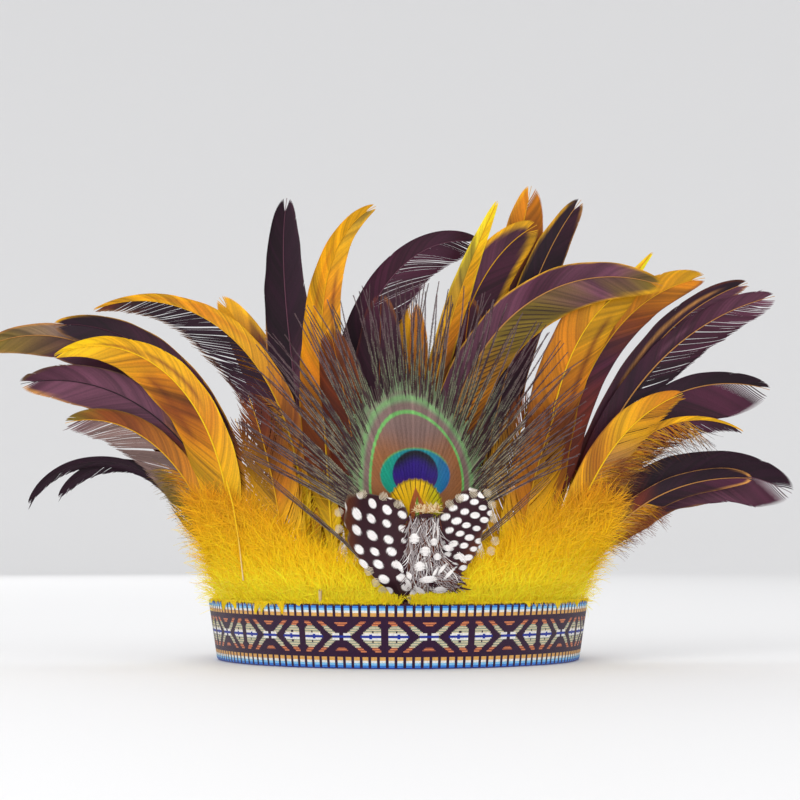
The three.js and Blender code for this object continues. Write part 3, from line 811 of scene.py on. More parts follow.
PEACOCK_ROOT = 0.055
EYE_X = 3.5
EYE_FOOT = 56.0
EYE_WIDEST = 77.0
EYE_HALF = 19.5
EYE_RISE = 30.5
EYE_DROP = 20.0
EYE_BARBS = 420
EYE_POINTS = 112
EYE_SPREAD = 1.36
EYE_REACH = 84.0
FAN_FOOT = 50.0
FAN_ANGLE = 63.0
HERLS = 118
HERL_REACH = 113.0
HERL_GAPS = (-43, -29, -15, 11, 26, 40)
LOWER_HERLS = (
    ((-4, 31), (-26.7, 54), (-56.5, 79), (-70, 90)),
    ((9, 35), (19.6, 45), (42, 62.5), (62, 80)),
)
PEACOCK_COLOUR = linear_palette({
    "ring": (0.40, 0.66, 0.34),
    "bronze": (0.46, 0.36, 0.34),
    "copper": (0.54, 0.34, 0.20),
    "teal": (0.02, 0.50, 0.55),
    "teal_left": (0.03, 0.55, 0.45),
    "blue": (0.01, 0.38, 0.58),
    "violet": (0.16, 0.03, 0.44),
    "navy": (0.04, 0.01, 0.12),
    "purple": (0.26, 0.08, 0.32),
    "disc": (0.90, 0.72, 0.10),
    "disc_dark": (0.30, 0.20, 0.06),
    "notch": (0.66, 0.36, 0.20),
    "notch_green": (0.45, 0.62, 0.18),
    "outer": (0.44, 0.52, 0.38),
    "outer_brown": (0.46, 0.37, 0.35),
    "fleck": (0.72, 0.66, 0.55),
    "far": (0.50, 0.41, 0.42),
    "dark": (0.21, 0.09, 0.14),
})


def eye_level(dx, z):
    """1 on the green ring, less inside it and more outside."""
    up = (z - EYE_WIDEST) / np.where(z > EYE_WIDEST, EYE_RISE, EYE_DROP)
    shift = mix(0.7, -3.7, np.clip(up, 0, 1) ** 2)
    return np.sqrt(((dx - shift) / EYE_HALF) ** 2 + up**2)


def oval(dx, z, middle, half, rise, drop):
    up = (z - middle) / np.where(z > middle, rise, drop)
    return np.sqrt((dx / half) ** 2 + up**2)


def blend(under, over, share):
    return mix(under, over, share[..., None])


def eye_colours(x, z, streak, kind):
    c = PEACOCK_COLOUR
    dx = x - EYE_X
    level = eye_level(dx, z)
    colours = blend(c["outer_brown"], c["outer"], smooth(np.abs(level - 1.2), 0.1, 0.03))
    colours = blend(colours, c["ring"], 0.35 * smooth(np.abs(level - 1.2), 0.045, 0.01))
    colours = blend(colours, c["outer"], smooth(level, 1.24, 1.32))
    dark = smooth(0.7 * smooth(level, 1.15, 1.55) - kind, -0.06, 0.06)
    colours = blend(colours, c["dark"] * 1.2, 0.9 * dark)
    bronze = blend(c["copper"], c["bronze"], smooth(z - 0.3 * np.abs(dx), 84, 100))
    colours = blend(colours, bronze, smooth(level, 1.02, 0.98))
    colours = blend(colours, c["ring"], smooth(np.abs(level - 1.0), 0.036, 0.014))
    teal = blend(c["teal"], c["blue"], smooth(dx, 4, 13))
    teal = blend(c["teal_left"], teal, smooth(dx, -12, -4))
    outside = oval(dx, z, 81.0, 14.6, 11.2, 11.0) - 1
    colours = blend(colours, teal, smooth(outside, 0.03, -0.03))
    green_edge = smooth(np.abs(outside), 0.05, 0.0) * smooth(z, 84, 88)
    colours = blend(colours, c["ring"] * 0.8, 0.8 * green_edge)
    core = oval(dx, z, 81.5, 9.5, 9.9, 9.0) - 1
    inner = blend(c["violet"], c["navy"], smooth(core, -0.6, -0.1) * smooth(z, 80, 88))
    inner = blend(c["purple"], inner, smooth(z, 75, 81))
    colours = blend(colours, inner, smooth(core, 0.03, -0.03))
    wave = 0.05 * np.abs(np.sin(np.arctan2(dx, z - 66) * 17))
    disc = oval(dx, z, 67.6, 11.8, 12.2, 8.0) - 1 + wave
    turn = np.arctan2(dx, z - 60)
    lines = smooth(np.cos(turn * 52), 0.55, 0.95) * smooth(disc, -0.75, -0.15)
    gold = blend(c["disc"], c["disc_dark"], lines * 0.75)
    gold = blend(gold, gold * linear((0.85, 1.0, 0.6)), smooth(dx, 2, 9))
    colours = blend(colours, gold, smooth(disc, 0.03, -0.03))
    colours = blend(colours, c["disc_dark"], 0.6 * smooth(np.abs(disc + 0.03), 0.05, 0.0))
    reach = np.clip((76.6 - z) / 8.6, 0, 1)
    notch = np.where(dx < 0, dx / -2.6, dx / 4.4) - reach
    notch = np.where(z < 76.6, notch, 1.0)
    colours = blend(colours, c["notch"], smooth(-notch, 0, 0.12))
    spike = np.abs(dx - 0.8) / 0.9 - np.clip((72.5 - z) / 4, 0, 1)
    spike = np.where(z < 72.5, spike, 1.0)
    colours = blend(colours, c["notch_green"], smooth(-spike, 0, 0.2))
    inside = smooth(level, 1.02, 0.9)
    return colours * (1 + streak * mix(1.0, 0.5, inside))[..., None]


def herl(shape, line, green, flecks, breadth=0.9):
    """One loose herl: a thin dark shaft with short flat barbules on both sides, flecked pale and dark."""
    along, across = along_frame(line)
    length = np.concatenate([[0], np.cumsum(np.linalg.norm(np.diff(line, axis=0), axis=1))])
    count = int(length[-1] / 0.5)
    places = np.linspace(0, length[-1], count)

    def at(values):
        return np.stack([np.interp(places, length, values[:, i]) for i in range(3)], axis=-1)

    foot = at(line)
    ahead = at(along)
    beside = at(across)
    share = (places / length[-1])[:, None]
    c = PEACOCK_COLOUR
    pale = mix(mix(c["fleck"], c["outer"], green), c["far"], smooth(share, 0.25, 0.75))
    size = breadth * (1 - 0.6 * share[:, 0] ** 2)
    for side in (-1, 1):
        lean = rng.uniform(0.8, 1.4, count)
        reach = size * rng.uniform(0.7, 1.15, count)
        tip = foot + (beside * side + ahead * lean[:, None]) * reach[:, None] * 0.7
        tip[:, 1] -= 0.15 * rng.random(count)
        centres = np.stack([foot, tip], axis=1)
        half = ahead[:, None, :] * np.array([0.24, 0.12])[None, :, None]
        light = smooth(wander(count, 3) + flecks, -0.9, 0.3)
        colours = mix(c["dark"], pale, light[:, None]) * rng.uniform(0.75, 1.15, count)[:, None]
        ends = np.stack([mix(c["dark"] + 0 * colours, colours, 0.35), colours], axis=1)
        shape.strips(centres, np.broadcast_to(half, centres.shape), ends)
    share = length / length[-1]
    tint = blend(c["dark"], c["far"], 0.3 * share)
    shape.tube(line - [0, 0.1, 0], mix(0.2, 0.1, share), tint, sides=3)


def eye(shape, sheet):
    turn = np.linspace(-EYE_SPREAD, EYE_SPREAD, EYE_BARBS)
    reach = np.linspace(0.3, EYE_REACH, 320)
    x = EYE_X + np.sin(turn)[:, None] * reach[None, :]
    z = EYE_FOOT + np.cos(turn)[:, None] * reach[None, :]
    level = eye_level(x - EYE_X, z)
    border = mix(1.52, 1.16, smooth(np.abs(turn), 0.7, 1.3)) + 0.07 * rng.normal(size=EYE_BARBS)
    last = np.array([reach[row < limit].max() for row, limit in zip(level, border)])
    order = np.arange(EYE_BARBS)
    first = np.where(order % 4 == 0, 3.0, np.where(order % 2 == 0, 9.0, 16.0))
    first = np.minimum(first, last - 2)
    t = np.linspace(0, 1, EYE_POINTS)[None, :]
    r = first[:, None] + (last - first)[:, None] * t
    bent = turn[:, None] + 0.006 * wander(EYE_BARBS, 1)[:, None] * smooth(t, 0.75, 1.0)
    x = EYE_X + np.sin(bent) * r
    z = EYE_FOOT + np.cos(bent) * r
    level = eye_level(x - EYE_X, z)
    ripple = 0.08 * np.sin(order * 0.9)[:, None] * smooth(r, 10, 30)
    y = sheet(x, z) - 0.9 + ripple + 0.5 * smooth(level, 0.8, 1.1) + 0.6 * smooth(level, 1.1, 1.45)
    centres = points_of(x, y, z)
    _, across = along_frame(centres)
    half = np.clip(r * (turn[1] - turn[0]) * 0.9, 0.1, 0.4) * (1 - 0.5 * smooth(level, 1.1, 1.4))
    sides = across * half[..., None]
    sides[..., 1] += 0.07
    streak = 0.1 * wander(EYE_BARBS, 1) + 0.1 * wander(EYE_BARBS, 3)
    kind = rng.random(EYE_BARBS)
    wide = np.ones_like(x)
    shape.strips(centres, sides, eye_colours(x, z, streak[:, None] * wide, kind[:, None] * wide))


def peacock():
    shape = Shape()
    sheet = front_sheet(PEACOCK_FORWARD)
    eye(shape, sheet)
    for i in range(HERLS):
        aside = (i + 0.5) / (HERLS / 2) - 1
        aside = np.sign(aside) * np.abs(aside) ** 1.15
        degrees = aside * FAN_ANGLE + rng.normal() * 0.5
        for gap in HERL_GAPS:
            from_gap = degrees - gap
            degrees += 1.5 * np.sign(from_gap) * np.exp(-abs(from_gap) / 2.0)
        angle = np.radians(degrees)
        far = HERL_REACH * (1 - 0.3 * smooth(abs(degrees), 33, 70)) * (1 - 0.09 * rng.random() ** 2)
        probe = np.linspace(6, 66, 121)
        px = EYE_X + np.sin(angle) * probe
        pz = FAN_FOOT + np.cos(angle) * probe
        inside = probe[eye_level(px - EYE_X, pz) < 1.12]
        near = inside.max() if len(inside) and abs(aside) < 0.9 else 9.0
        along = np.linspace(near, far, 26)
        stray = rng.normal() * 0.03 * ((along - near) / (far - near)) ** 2
        turned = angle * (0.93 + 0.07 * along / far) + stray
        lx = EYE_X + np.sin(turned) * along
        lz = FAN_FOOT + np.cos(turned) * along
        ly = sheet(lx, lz) + rng.uniform(-0.9, 1.1) * smooth(along, near, near + 12)
        green = 0.8 if abs(aside) < 0.55 else 0.35
        herl(shape, points_of(lx, ly, lz), green, rng.uniform(-0.4, 0.3))
    for path in LOWER_HERLS:
        path = np.array(path, float)
        for k in range(4):
            t = np.linspace(0, len(path) - 1, 40)
            lx = np.interp(t, range(len(path)), path[:, 0])
            lz = np.interp(t, range(len(path)), path[:, 1])
            aside = (k - 1.5) * 0.5 * mix(0.6, 1.5, t / t[-1])
            lx = lx + aside * 0.64 + 0.3 * np.sin(t * 2 + k)
            lz = lz + aside * 0.77 * np.sign(-lx)
            ly = sheet(lx, lz) + 0.2 * (k % 2)
            herl(shape, points_of(lx, ly, lz), 0.0, 0.6 if k in (0, 3) else -0.5, 0.55)
    share = np.linspace(0, 1, 24)
    sx = mix(PEACOCK_ROOT * BAND_HALF_WIDTH, EYE_X, smooth(share, 0, 0.3))
    sz = mix(QUILL_FOOT, EYE_FOOT + 12, share)
    stem = points_of(sx, sheet(sx, sz) - 0.2, sz)
    shape.tube(stem, mix(0.9, 0.5, share), COLOUR["cream"], sides=8)
    shape.build("peacock_eye", HERL, "peacock_herl", "peacock_feather")


peacock()


# Guinea fowl feathers: dark vanes with rows of white dots, and grey fluff between the two

GUINEA_COLOUR = linear_palette({
    "dark": (0.21, 0.09, 0.13),
    "brown": (0.38, 0.19, 0.09),
    "white": (0.97, 0.95, 0.94),
    "pale": (0.82, 0.76, 0.66),
    "grey": (0.66, 0.62, 0.62),
})
GUINEA_BARBS = 340
MIDDLE_BARBS = 1000
CREAM_BARBS = 260
# Spine, then half breadth outside and inside at each share of the length, then the rows of dots: pitch
# along the spine at its foot, how fast it grows, pitch across, and the dots' radius, in mm
GUINEA_SHARES = (0.0, 0.2, 0.4, 0.6, 0.85, 0.96, 1.0, 1.0)
GUINEA_FEATHERS = {
    "left": {
        "spine": (-0.02, -26, 12, 1.6, 45.0),
        "outside": -1,
        "outer": (1.5, 4.5, 9, 13, 14.5, 14, 8, 0.3),
        "inner": (3, 7, 10, 11.5, 11, 9, 5, 0.3),
        "dots": (5.0, 0.02, 6.4, 1.8),
    },
    "right": {
        "spine": (0.085, 12, 52, 1.0, 51.0),
        "outside": 1,
        "outer": (9, 11, 12.5, 12.5, 9, 7, 4, 0.3),
        "inner": (3, 6, 7.5, 8.5, 8.5, 7, 4, 0.3),
        "dots": (5.2, 0.0, 4.5, 1.55),
    },
}
# Pale hatched dots on the loose barbs round the vanes
LOOSE_DOTS = (
    (-28.1, 65.6), (-28.1, 58.6), (-18.4, 73.1), (-9.7, 72.1), (-15.8, 41.2), (-12.9, 36.5), (-10, 33.1),
    (-3.6, 68.9), (18, 68.9), (22.2, 71.4), (28.3, 73.4), (34.4, 73.7), (36.3, 68.7), (37, 63.1),
    (37.6, 53.4), (35.7, 49.2),
)
# Long white marks low down between the vanes: x, z, half length, half breadth, degrees from level
LONG_MARKS = (
    (8.6, 37.6, 3.9, 1.4, 5), (5.4, 32.8, 3.3, 1.1, -35), (2.5, 31.2, 2.3, 1.2, 80), (0.3, 36, 2.8, 0.9, -60),
    (-3.3, 43.1, 3.0, 1.0, -60), (0.6, 39.2, 1.9, 1.0, -65), (13.8, 33.1, 3.1, 1.4, 5),
    (5.1, 43, 2.6, 1.9, 10),
    (2.9, 54.4, 2.3, 2.1, 0), (7.4, 49.2, 2.2, 1.9, 0), (12.5, 47, 1.8, 1.4, 0), (17, 50.5, 2.4, 1.3, -15),
    (22.8, 46.6, 2.9, 1.3, -50), (11.1, 53.1, 1.7, 1.5, 0), (14.5, 42, 3.2, 0.7, 50),
    (17.5, 40, 3.4, 0.7, 45),
    (11.5, 40.6, 2.8, 0.6, 60),
)


def hatched(shape, sheet, x, z, long, broad, degrees, colour, strips=7, cover=0.8):
    """A mark made of a few strips side by side, as where barbs lie apart."""
    k = (np.arange(strips) + 0.5) / strips * 2 - 1
    t = np.linspace(-1, 1, 4)[None, :]
    angle = np.radians(degrees)
    reach = long * np.sqrt(1 - k * k)[:, None] * t * rng.uniform(0.85, 1.1, strips)[:, None]
    aside = broad * k[:, None] + 0.1 * broad * (1 - t * t)
    px = x + np.cos(angle) * reach - np.sin(angle) * aside
    pz = z + np.sin(angle) * reach + np.cos(angle) * aside
    centres = points_of(px, sheet(px, pz), pz)
    _, across = along_frame(centres)
    half = broad / strips * cover * (1 - 0.5 * t**4)
    tone = rng.uniform(0.85, 1.0, strips)[:, None, None]
    shape.strips(centres, across * half[..., None], colour * tone * np.ones_like(centres))


def guinea(side):
    g = GUINEA_FEATHERS[side]
    c = GUINEA_COLOUR
    root, start, end, bend, length = g["spine"]
    pitch, growth, cross, radius = g["dots"]
    sheet = front_sheet(GUINEA_FORWARD[side])
    spine = Spine(root * BAND_HALF_WIDTH, ROOT_HEIGHT, start, end, bend, length)
    shape = Shape()
    for half_side in (-1, 1):
        outer = half_side == g["outside"]
        widths = np.array(g["outer" if outer else "inner"], float)
        shares = np.array(GUINEA_SHARES)
        edge = np.concatenate([[0], np.cumsum(np.hypot(np.diff(shares) * length, np.diff(widths)))])
        count = GUINEA_BARBS
        place = np.linspace(0, edge[-1], count)
        ends = np.interp(place, edge, shares)
        full = np.interp(place, edge, widths) * (1 + 0.04 * wander(count, 5)) + 0.4
        roots = np.maximum(ends - (full * 0.8 + 2) / length, 0.0)
        t = np.linspace(0, 1, 30)[None, :]
        share = roots[:, None] + (ends - roots)[:, None] * t
        away = full[:, None] * (1 - (1 - t) ** 1.2)
        x, z, angle = spine.at(share)
        x = x + half_side * np.cos(angle) * away
        z = z - half_side * np.sin(angle) * away
        z = np.maximum(z, BAND_HEIGHT + 0.6 + 1.2 * rng.random(count)[:, None])
        y = sheet(x, z) + 0.8 * (away / widths.max()) ** 2 - 0.4
        centres = points_of(x, y, z)
        _, across = along_frame(centres)
        sides = across * (0.19 * (1 - 0.7 * smooth(t, 0.85, 1)))[..., None]
        sides[..., 1] += half_side * 0.06
        # Dots stand in rows that slope towards the outer edge
        outward = away / cross * (1 if outer else -1)
        line = np.floor(outward) + 0.5
        along = share * length / (pitch + growth * share * length) - 0.36 * outward
        row = np.round(along + 0.08 * np.sin(line * 5.1))
        local = (pitch + growth * share * length) ** 2 / pitch
        across_dot = (outward - line + 0.07 * np.sin(row * 12.9 + line * 7.3)) * cross
        along_dot = (along - row + 0.07 * np.sin(row * 3.9 + line * 11.1)) * local
        size = radius * (1 + 0.1 * np.sin(row * 2.3 + line * 4.7))
        dot = smooth(np.hypot(across_dot, along_dot), size + 0.2, size - 0.2)
        loose = smooth(t, 0.88, 1.0) * np.ones_like(away)
        browner = smooth(away, widths.max() * 0.5, widths.max()) * (0.9 if outer else 0.2)
        ground = blend(c["dark"], c["brown"], browner)
        ground = blend(ground, c["pale"] * 0.7, 0.3 * loose)
        colours = blend(ground, blend(c["white"], c["pale"], 0.5 * loose), dot)
        tone = 1 + 0.08 * rng.normal(size=count)
        shape.strips(centres, sides, colours * tone[:, None, None])
    low = np.linspace(0, 1, 6)
    foot_x = np.full(6, root * BAND_HALF_WIDTH)
    foot_z = mix(QUILL_FOOT, ROOT_HEIGHT, low)
    foot = points_of(foot_x, sheet(foot_x, foot_z), foot_z)
    shape.tube(foot, np.full(6, 0.45), c["dark"] * 1.3, sides=6)
    over = front_sheet(GUINEA_FORWARD[side] + 0.6)
    for x, z in LOOSE_DOTS:
        if (x > 10) == (side == "right"):
            lean = np.degrees(np.arctan2(z - 34, x - EYE_X))
            hatched(shape, over, x, z, 2.0, 1.9, lean, c["pale"], cover=0.55)
    if side == "right":
        middle_fluff(shape)
    shape.build("spotted_" + side, GUINEA, "guinea_vane", "guinea_feather_" + side)


def middle_fluff(shape):
    """Grey and white barbs that fall between the two spotted vanes, with a cream tuft at the top."""
    c = GUINEA_COLOUR
    forward = GUINEA_FORWARD["left"]
    sheet = front_sheet(forward + 1.6)
    count = MIDDLE_BARBS
    z0 = rng.uniform(33, 65, count)
    spread = mix(6.5, 8.5, smooth(z0, 60, 36)) * rng.uniform(-1, 1, count)
    x0 = 7.0 + 3.0 * smooth(z0, 52, 34) + spread
    lower = smooth(z0, 54, 42)
    angle = np.radians(180 - 55 * lower * (x0 > 9) + rng.normal(size=count) * 14)
    length = rng.uniform(4, 11, count)
    t = np.linspace(0, 1, 6)[None, :]
    x, z = curved(x0, z0, angle, np.radians(rng.normal(size=count) * 25), length, t)
    z = np.maximum(z, BAND_HEIGHT + 1.0)
    kind = rng.random(count)
    deep = np.where(kind < 0.5, rng.uniform(0.7, 1.6, count), rng.uniform(-0.3, 0.9, count))
    centres = points_of(x, sheet(x, z) + deep[:, None], z)
    _, across = along_frame(centres)
    half = np.where(kind < 0.5, 0.42, 0.15)[:, None] * np.sin(np.pi * np.clip(t, 0.06, 0.94)) ** 0.6
    part = kind[:, None]
    tint = np.where(part < 0.8, c["grey"], c["brown"])
    tint = np.where(part < 0.5, c["dark"] * 1.3, tint)
    tint = np.where(part > 0.92, c["white"], tint)
    shape.strips(centres, across * half[..., None], np.repeat(tint[:, None], 6, axis=1))
    for x, z, long, broad, degrees in LONG_MARKS:
        hatched(shape, front_sheet(forward + 2.2), x, z, long, broad, degrees, c["white"], cover=1.0)
    count = CREAM_BARBS
    x0 = 8.4 + rng.uniform(-4.6, 4.6, count)
    z0 = 65.2 + rng.uniform(0, 2.4, count)
    angle = np.radians(rng.normal(size=count) * 45)
    t = np.linspace(0, 1, 5)[None, :]
    x, z = curved(x0, z0, angle, np.radians(rng.normal(size=count) * 40), rng.uniform(1.0, 2.8, count), t)
    y = sheet(x, z) - 0.5 * rng.random(count)[:, None]
    strand(shape, points_of(x, y, z), 0.2, picked(("cream", "cream", "tan"), count))
    hatched(shape, front_sheet(forward + 2.4), 7.8, 64.0, 4.6, 0.9, 4, c["dark"], cover=1.1)


guinea("left")
guinea("right")


# Yellow down: soft strands over a yellow backing, from a strip behind the rim

DOWN_TUFTS = {
    "left_outer": (-0.95, -0.67),
    "left_inner": (-0.66, -0.005),
    "right_inner": (0.005, 0.66),
    "right_outer": (0.67, 0.95),
}
DOWN_STRANDS = 4400
DOWN_FROM = 3.0
DOWN_MEET = 55.0
DOWN_LOW = 48.0
DOWN_RISE = 29.0
DOWN_OUTER_END = 92.0
DOWN_LENGTHS = (6, 15)
TUFT_STRANDS = 46
RIM_END = 84.0
# Short strands over the rim: how many, their least drop and its range in mm
RIM_STRANDS = {"outer": (240, 0.4, 1.8), "inner": (160, 0.2, 1.0)}
DOWN_COLOURS = "lemon .1 yellow .36 gold .8 amber 1.25"
# Where small tufts hang over the rim: x, how far down, lean, in mm
HANGING = (
    (-77, 4.5, -1), (-74.5, 3.5, 2), (-61.5, 5.2, -2), (-58, 4.6, -3), (-53, 5.0, 1), (-45, 1.4, 0),
    (52, 2.2, 1), (66, 3.4, 1), (78, 3.0, -1),
)
# Quills that show over the down: path as x and z, radius
SHOWN_QUILLS = {
    "left_outer": (((-76.3, 79.3), (-73.3, 68.6), (-70.8, 53.7), (-68.8, 36.5)), 0.3),
    "left_inner": (((-36, 33), (-35.8, 26.5)), 0.7),
}


def down_top(x):
    return DOWN_LOW + DOWN_RISE * smooth(np.abs(x), 20, 85)


def down_edge(z, sign):
    return 87 + (10 if sign < 0 else 13) * smooth(z, 27, 72)


def down_colour(z, shift):
    return 1.2 * ramp(DOWN_COLOURS, np.clip((z - BAND_HEIGHT) / 50 + shift, 0, 2))


def down(name):
    strip = DOWN_TUFTS[name]
    sign = np.sign(strip[0] + strip[1])
    outer = name.endswith("outer")
    shape = Shape()
    count = DOWN_STRANDS
    # Feet all over the tuft, drawn again where they fall outside it
    inner_x = DOWN_MEET if outer else DOWN_FROM
    outer_x = DOWN_OUTER_END if outer else DOWN_MEET
    x0 = sign * rng.uniform(inner_x, outer_x, 3 * count)
    z0 = rng.uniform(BAND_HEIGHT - 3, DOWN_LOW + DOWN_RISE - 6, 3 * count)
    inside = (z0 < down_top(x0) - 6) & (np.abs(x0) < down_edge(z0, sign) - 7)
    x0 = x0[inside][:count]
    z0 = z0[inside][:count]
    count = len(x0)
    outward = np.clip((np.abs(x0) - 20) / 70, 0, 1)
    angle = sign * np.radians(mix(2, 52, outward)) + np.radians(rng.normal(size=count) * 30)
    length = rng.uniform(*DOWN_LENGTHS, count) * mix(0.8, 1.0, outward)
    bend = np.radians(rng.normal(size=count) * 34)
    t = np.linspace(0, 1, 6)[None, :]
    x, z = curved(x0, z0, angle, bend, length, t)
    forward = rng.uniform(-1.2, 2.2, count)[:, None] * smooth(z, BAND_HEIGHT, BAND_HEIGHT + 10)
    y = down_sheet(x, z) - forward - 1.2 * np.sin(t * 3.0) * rng.random(count)[:, None]
    colours = down_colour(z, 0.1 * rng.normal(size=count)[:, None])
    strand(shape, points_of(x, y, z), 0.15, colours)
    # Backing behind the strands
    across = np.linspace(inner_x - 1, outer_x - 4, 40)
    rise = np.linspace(0, 1, 24)[:, None]
    bx = sign * across[None, :] * np.ones_like(rise)
    top = down_top(bx) - 6 + rng.uniform(-1.5, 1.5, across.shape)[None, :]
    bz = mix(BAND_HEIGHT - 2, top, rise)
    bx = sign * np.minimum(np.abs(bx), down_edge(bz, sign) - 8)
    by = down_sheet(bx, bz) + 0.9 * smooth(bz, BAND_HEIGHT, BAND_HEIGHT + 6) + 0.3 * rng.random(bx.shape)
    shape.grid(points_of(bx, by, bz), down_colour(bz, 0.06 * rng.normal(size=bx.shape)))
    # Small tufts that hang over the rim, and short strands between them
    for place, drop, lean in HANGING:
        if np.sign(place) == sign and (abs(place) > DOWN_MEET) == outer:
            feet = place + 0.8 * rng.normal(size=TUFT_STRANDS)
            hang(shape, feet, drop * rng.uniform(0.5, 1.05, TUFT_STRANDS), lean, place)
    count, least, reach = RIM_STRANDS["outer" if outer else "inner"]
    ends = (DOWN_MEET, RIM_END) if outer else (DOWN_FROM, DOWN_MEET)
    loose = sign * rng.uniform(*ends, count)
    hang(shape, loose, reach * rng.random(count) ** 2 + least, 0, None)
    if name in SHOWN_QUILLS:
        path, radius = SHOWN_QUILLS[name]
        t = np.linspace(0, len(path) - 1, 20)
        qx = np.interp(t, range(len(path)), [point[0] for point in path])
        qz = np.interp(t, range(len(path)), [point[1] for point in path])
        line = points_of(qx, down_sheet(qx, qz) - 3.4 * smooth(qz, 26, 36), qz)
        tint = mix(COLOUR["yellow"], COLOUR["cream"], smooth(-qz, -60, -34)[:, None])
        shape.tube(line, radius * np.ones(20), tint)
    # The strip itself, a thin felt tape
    share = np.linspace(strip[0], strip[1], 40)
    rows = np.linspace(0.55 * BAND_HEIGHT, BAND_HEIGHT + 0.4, 6)
    taper = (half_width(rows) - ROW_INSET) / (half_width(BAND_HEIGHT) - ROW_INSET)
    gx = share[None, :] * BAND_HALF_WIDTH * taper[:, None]
    gz = np.repeat(rows[:, None], 40, axis=1)
    pale = mix(COLOUR["cream"], COLOUR["yellow"], 0.5)
    felt = blend(COLOUR["rust"], pale, smooth(np.abs(gx), 14, 26))
    for offset in (-0.35, 0.35):
        gy = wall(gx, gz, STRIP_INSET) + offset
        shade = rng.uniform(0.85, 1.0, gx.shape)[..., None]
        shape.grid(points_of(gx, gy, gz), felt * shade)
    shape.build("down_" + name, DOWN, "yellow_down", "down_tuft_" + name)


def hang(shape, x0, drop, lean, gather):
    """Strands that come over the rim and hang before the ribbon, drawn together towards one place."""
    count = len(x0)
    x0 = np.clip(x0, -0.985 * half_width(BAND_HEIGHT), 0.985 * half_width(BAND_HEIGHT))
    t = np.linspace(0, 1, 7)[None, :]
    x = x0[:, None] + (lean + 0.5 * rng.normal(size=count))[:, None] * smooth(t, 0.3, 1)
    if gather is not None:
        x = mix(x, gather + lean, 0.75 * smooth(t, 0.5, 1.0))
    z = BAND_HEIGHT + 1.3 * np.sin(t * np.pi * 0.8) - 0.3 - drop[:, None] * smooth(t, 0.4, 1)
    y = wall(x, z, 0) + mix(STRIP_INSET, -0.5, smooth(t, 0, 0.4)) - 0.4 * rng.random(count)[:, None] * t
    strand(shape, points_of(x, y, z), 0.16, picked(("lemon", "lemon", "yellow"), count))


for tuft in DOWN_TUFTS:
    down(tuft)


# Woven band: a charted repeat, mirrored about its middle line and about the middle of each motif

REPEAT = 37.4
THREAD = REPEAT / 60
CHECK = REPEAT / 10
FIRST_MOTIF = 15.5 * THREAD
BAND_ROWS = 54
WAVES_A_CELL = 0.314
BAND_COLOUR = linear_palette({
    "aubergine": (0.19, 0.06, 0.20),
    "white": (0.93, 0.92, 0.90),
    "cream": (0.86, 0.80, 0.66),
    "green": (0.58, 0.62, 0.54),
    "salmon": (0.86, 0.52, 0.34),
    "salmon_dark": (0.62, 0.34, 0.26),
    "gold": (0.88, 0.66, 0.36),
    "light_blue": (0.52, 0.78, 0.95),
    "blue": (0.24, 0.50, 0.86),
    "cobalt": (0.12, 0.20, 0.60),
})


def band_colours(s, v):
    """Colours by arc length from the centre front and by height share, 0 below and 1 above."""
    c = BAND_COLOUR
    u = (s - FIRST_MOTIF) / REPEAT
    u = np.abs(u - np.round(u))
    colours = np.broadcast_to(c["aubergine"], s.shape + (3,)).copy()
    fold = np.abs(v - 0.5) * 2
    even = np.floor(v * BAND_ROWS) % 2 == 0

    def paint(mask, name):
        colours[mask] = c[name]

    # Checks near both selvedges
    checks = ((s / CHECK) % 1.0 < 0.62) & (fold > 0.645) & (fold < 0.965)
    paint(checks, "gold")
    paint(checks & (fold > 0.74), "white")
    paint(checks & (fold > 0.82), "light_blue")
    paint(checks & (fold > 0.89), "blue")
    paint((fold > 0.975) & (v < 0.5), "cobalt")
    # Arms of the cross, the eyes between them with a dark post, and the small caps over the cross
    field = fold < 0.5
    reach = fold - 0.033
    arm = field & (u > 0.036 + 0.426 * reach) & (u < 0.121 + 0.388 * reach) & (fold > 0.03)
    post = (np.abs(u - 0.5) < 0.04) | (np.abs(u - 0.5) / 0.075 + np.abs(fold - 0.33) / 0.2 < 1)
    eye = field & (u > 0.214 + 0.392 * fold) & ~post
    cap = (fold > 0.315) & (fold < 0.455) & (u < 0.036 + 0.285 * (fold - 0.315))
    body = arm | eye
    paint(body & even, "cream")
    paint(body & ~even, "green")
    paint(eye & (np.abs(u - 0.366) < 0.016) & (np.abs(fold - 0.16) < 0.04), "aubergine")
    far = body & (fold > 0.33)
    paint((far | cap) & even, "salmon")
    paint((far | cap) & ~even, "salmon_dark")
    core = (u > 0.022) & (u < 0.112)
    paint((core | eye) & (fold < 0.1), "white")
    line = (core | eye | (u < 0.03)) & (fold < 0.03)
    paint(line, "cobalt")
    paint((np.abs(u - 0.339) < 0.012) & (fold < 0.075), "cobalt")
    return colours


def band_material():
    material = coloured("woven_ribbon", (0.62, 0.85), 2600.0, 0.12, 0.08, 0.15)
    nodes = material.node_tree.nodes
    place = add_node(material, "UVMap", {})
    place.uv_map = "threads"
    waves = []
    for axis in ("X", "Y"):
        wave = add_node(material, "TexWave", {"Vector": place.outputs["UV"]}, Scale=WAVES_A_CELL)
        wave.wave_type = "BANDS"
        wave.bands_direction = axis
        waves.append(wave.outputs["Fac"])
    weave = add_node(material, "Math", {}, "MULTIPLY")
    for wave, socket in zip(waves, weave.inputs):
        material.node_tree.links.new(wave, socket)
    heights = {"Height": weave.outputs["Value"], "Normal": nodes["Bump"].outputs["Normal"]}
    relief = add_node(material, "Bump", heights, Strength=0.6, Distance=0.00025)
    feed(material, nodes["Principled BSDF"], {"Normal": relief.outputs["Normal"]})
    return material


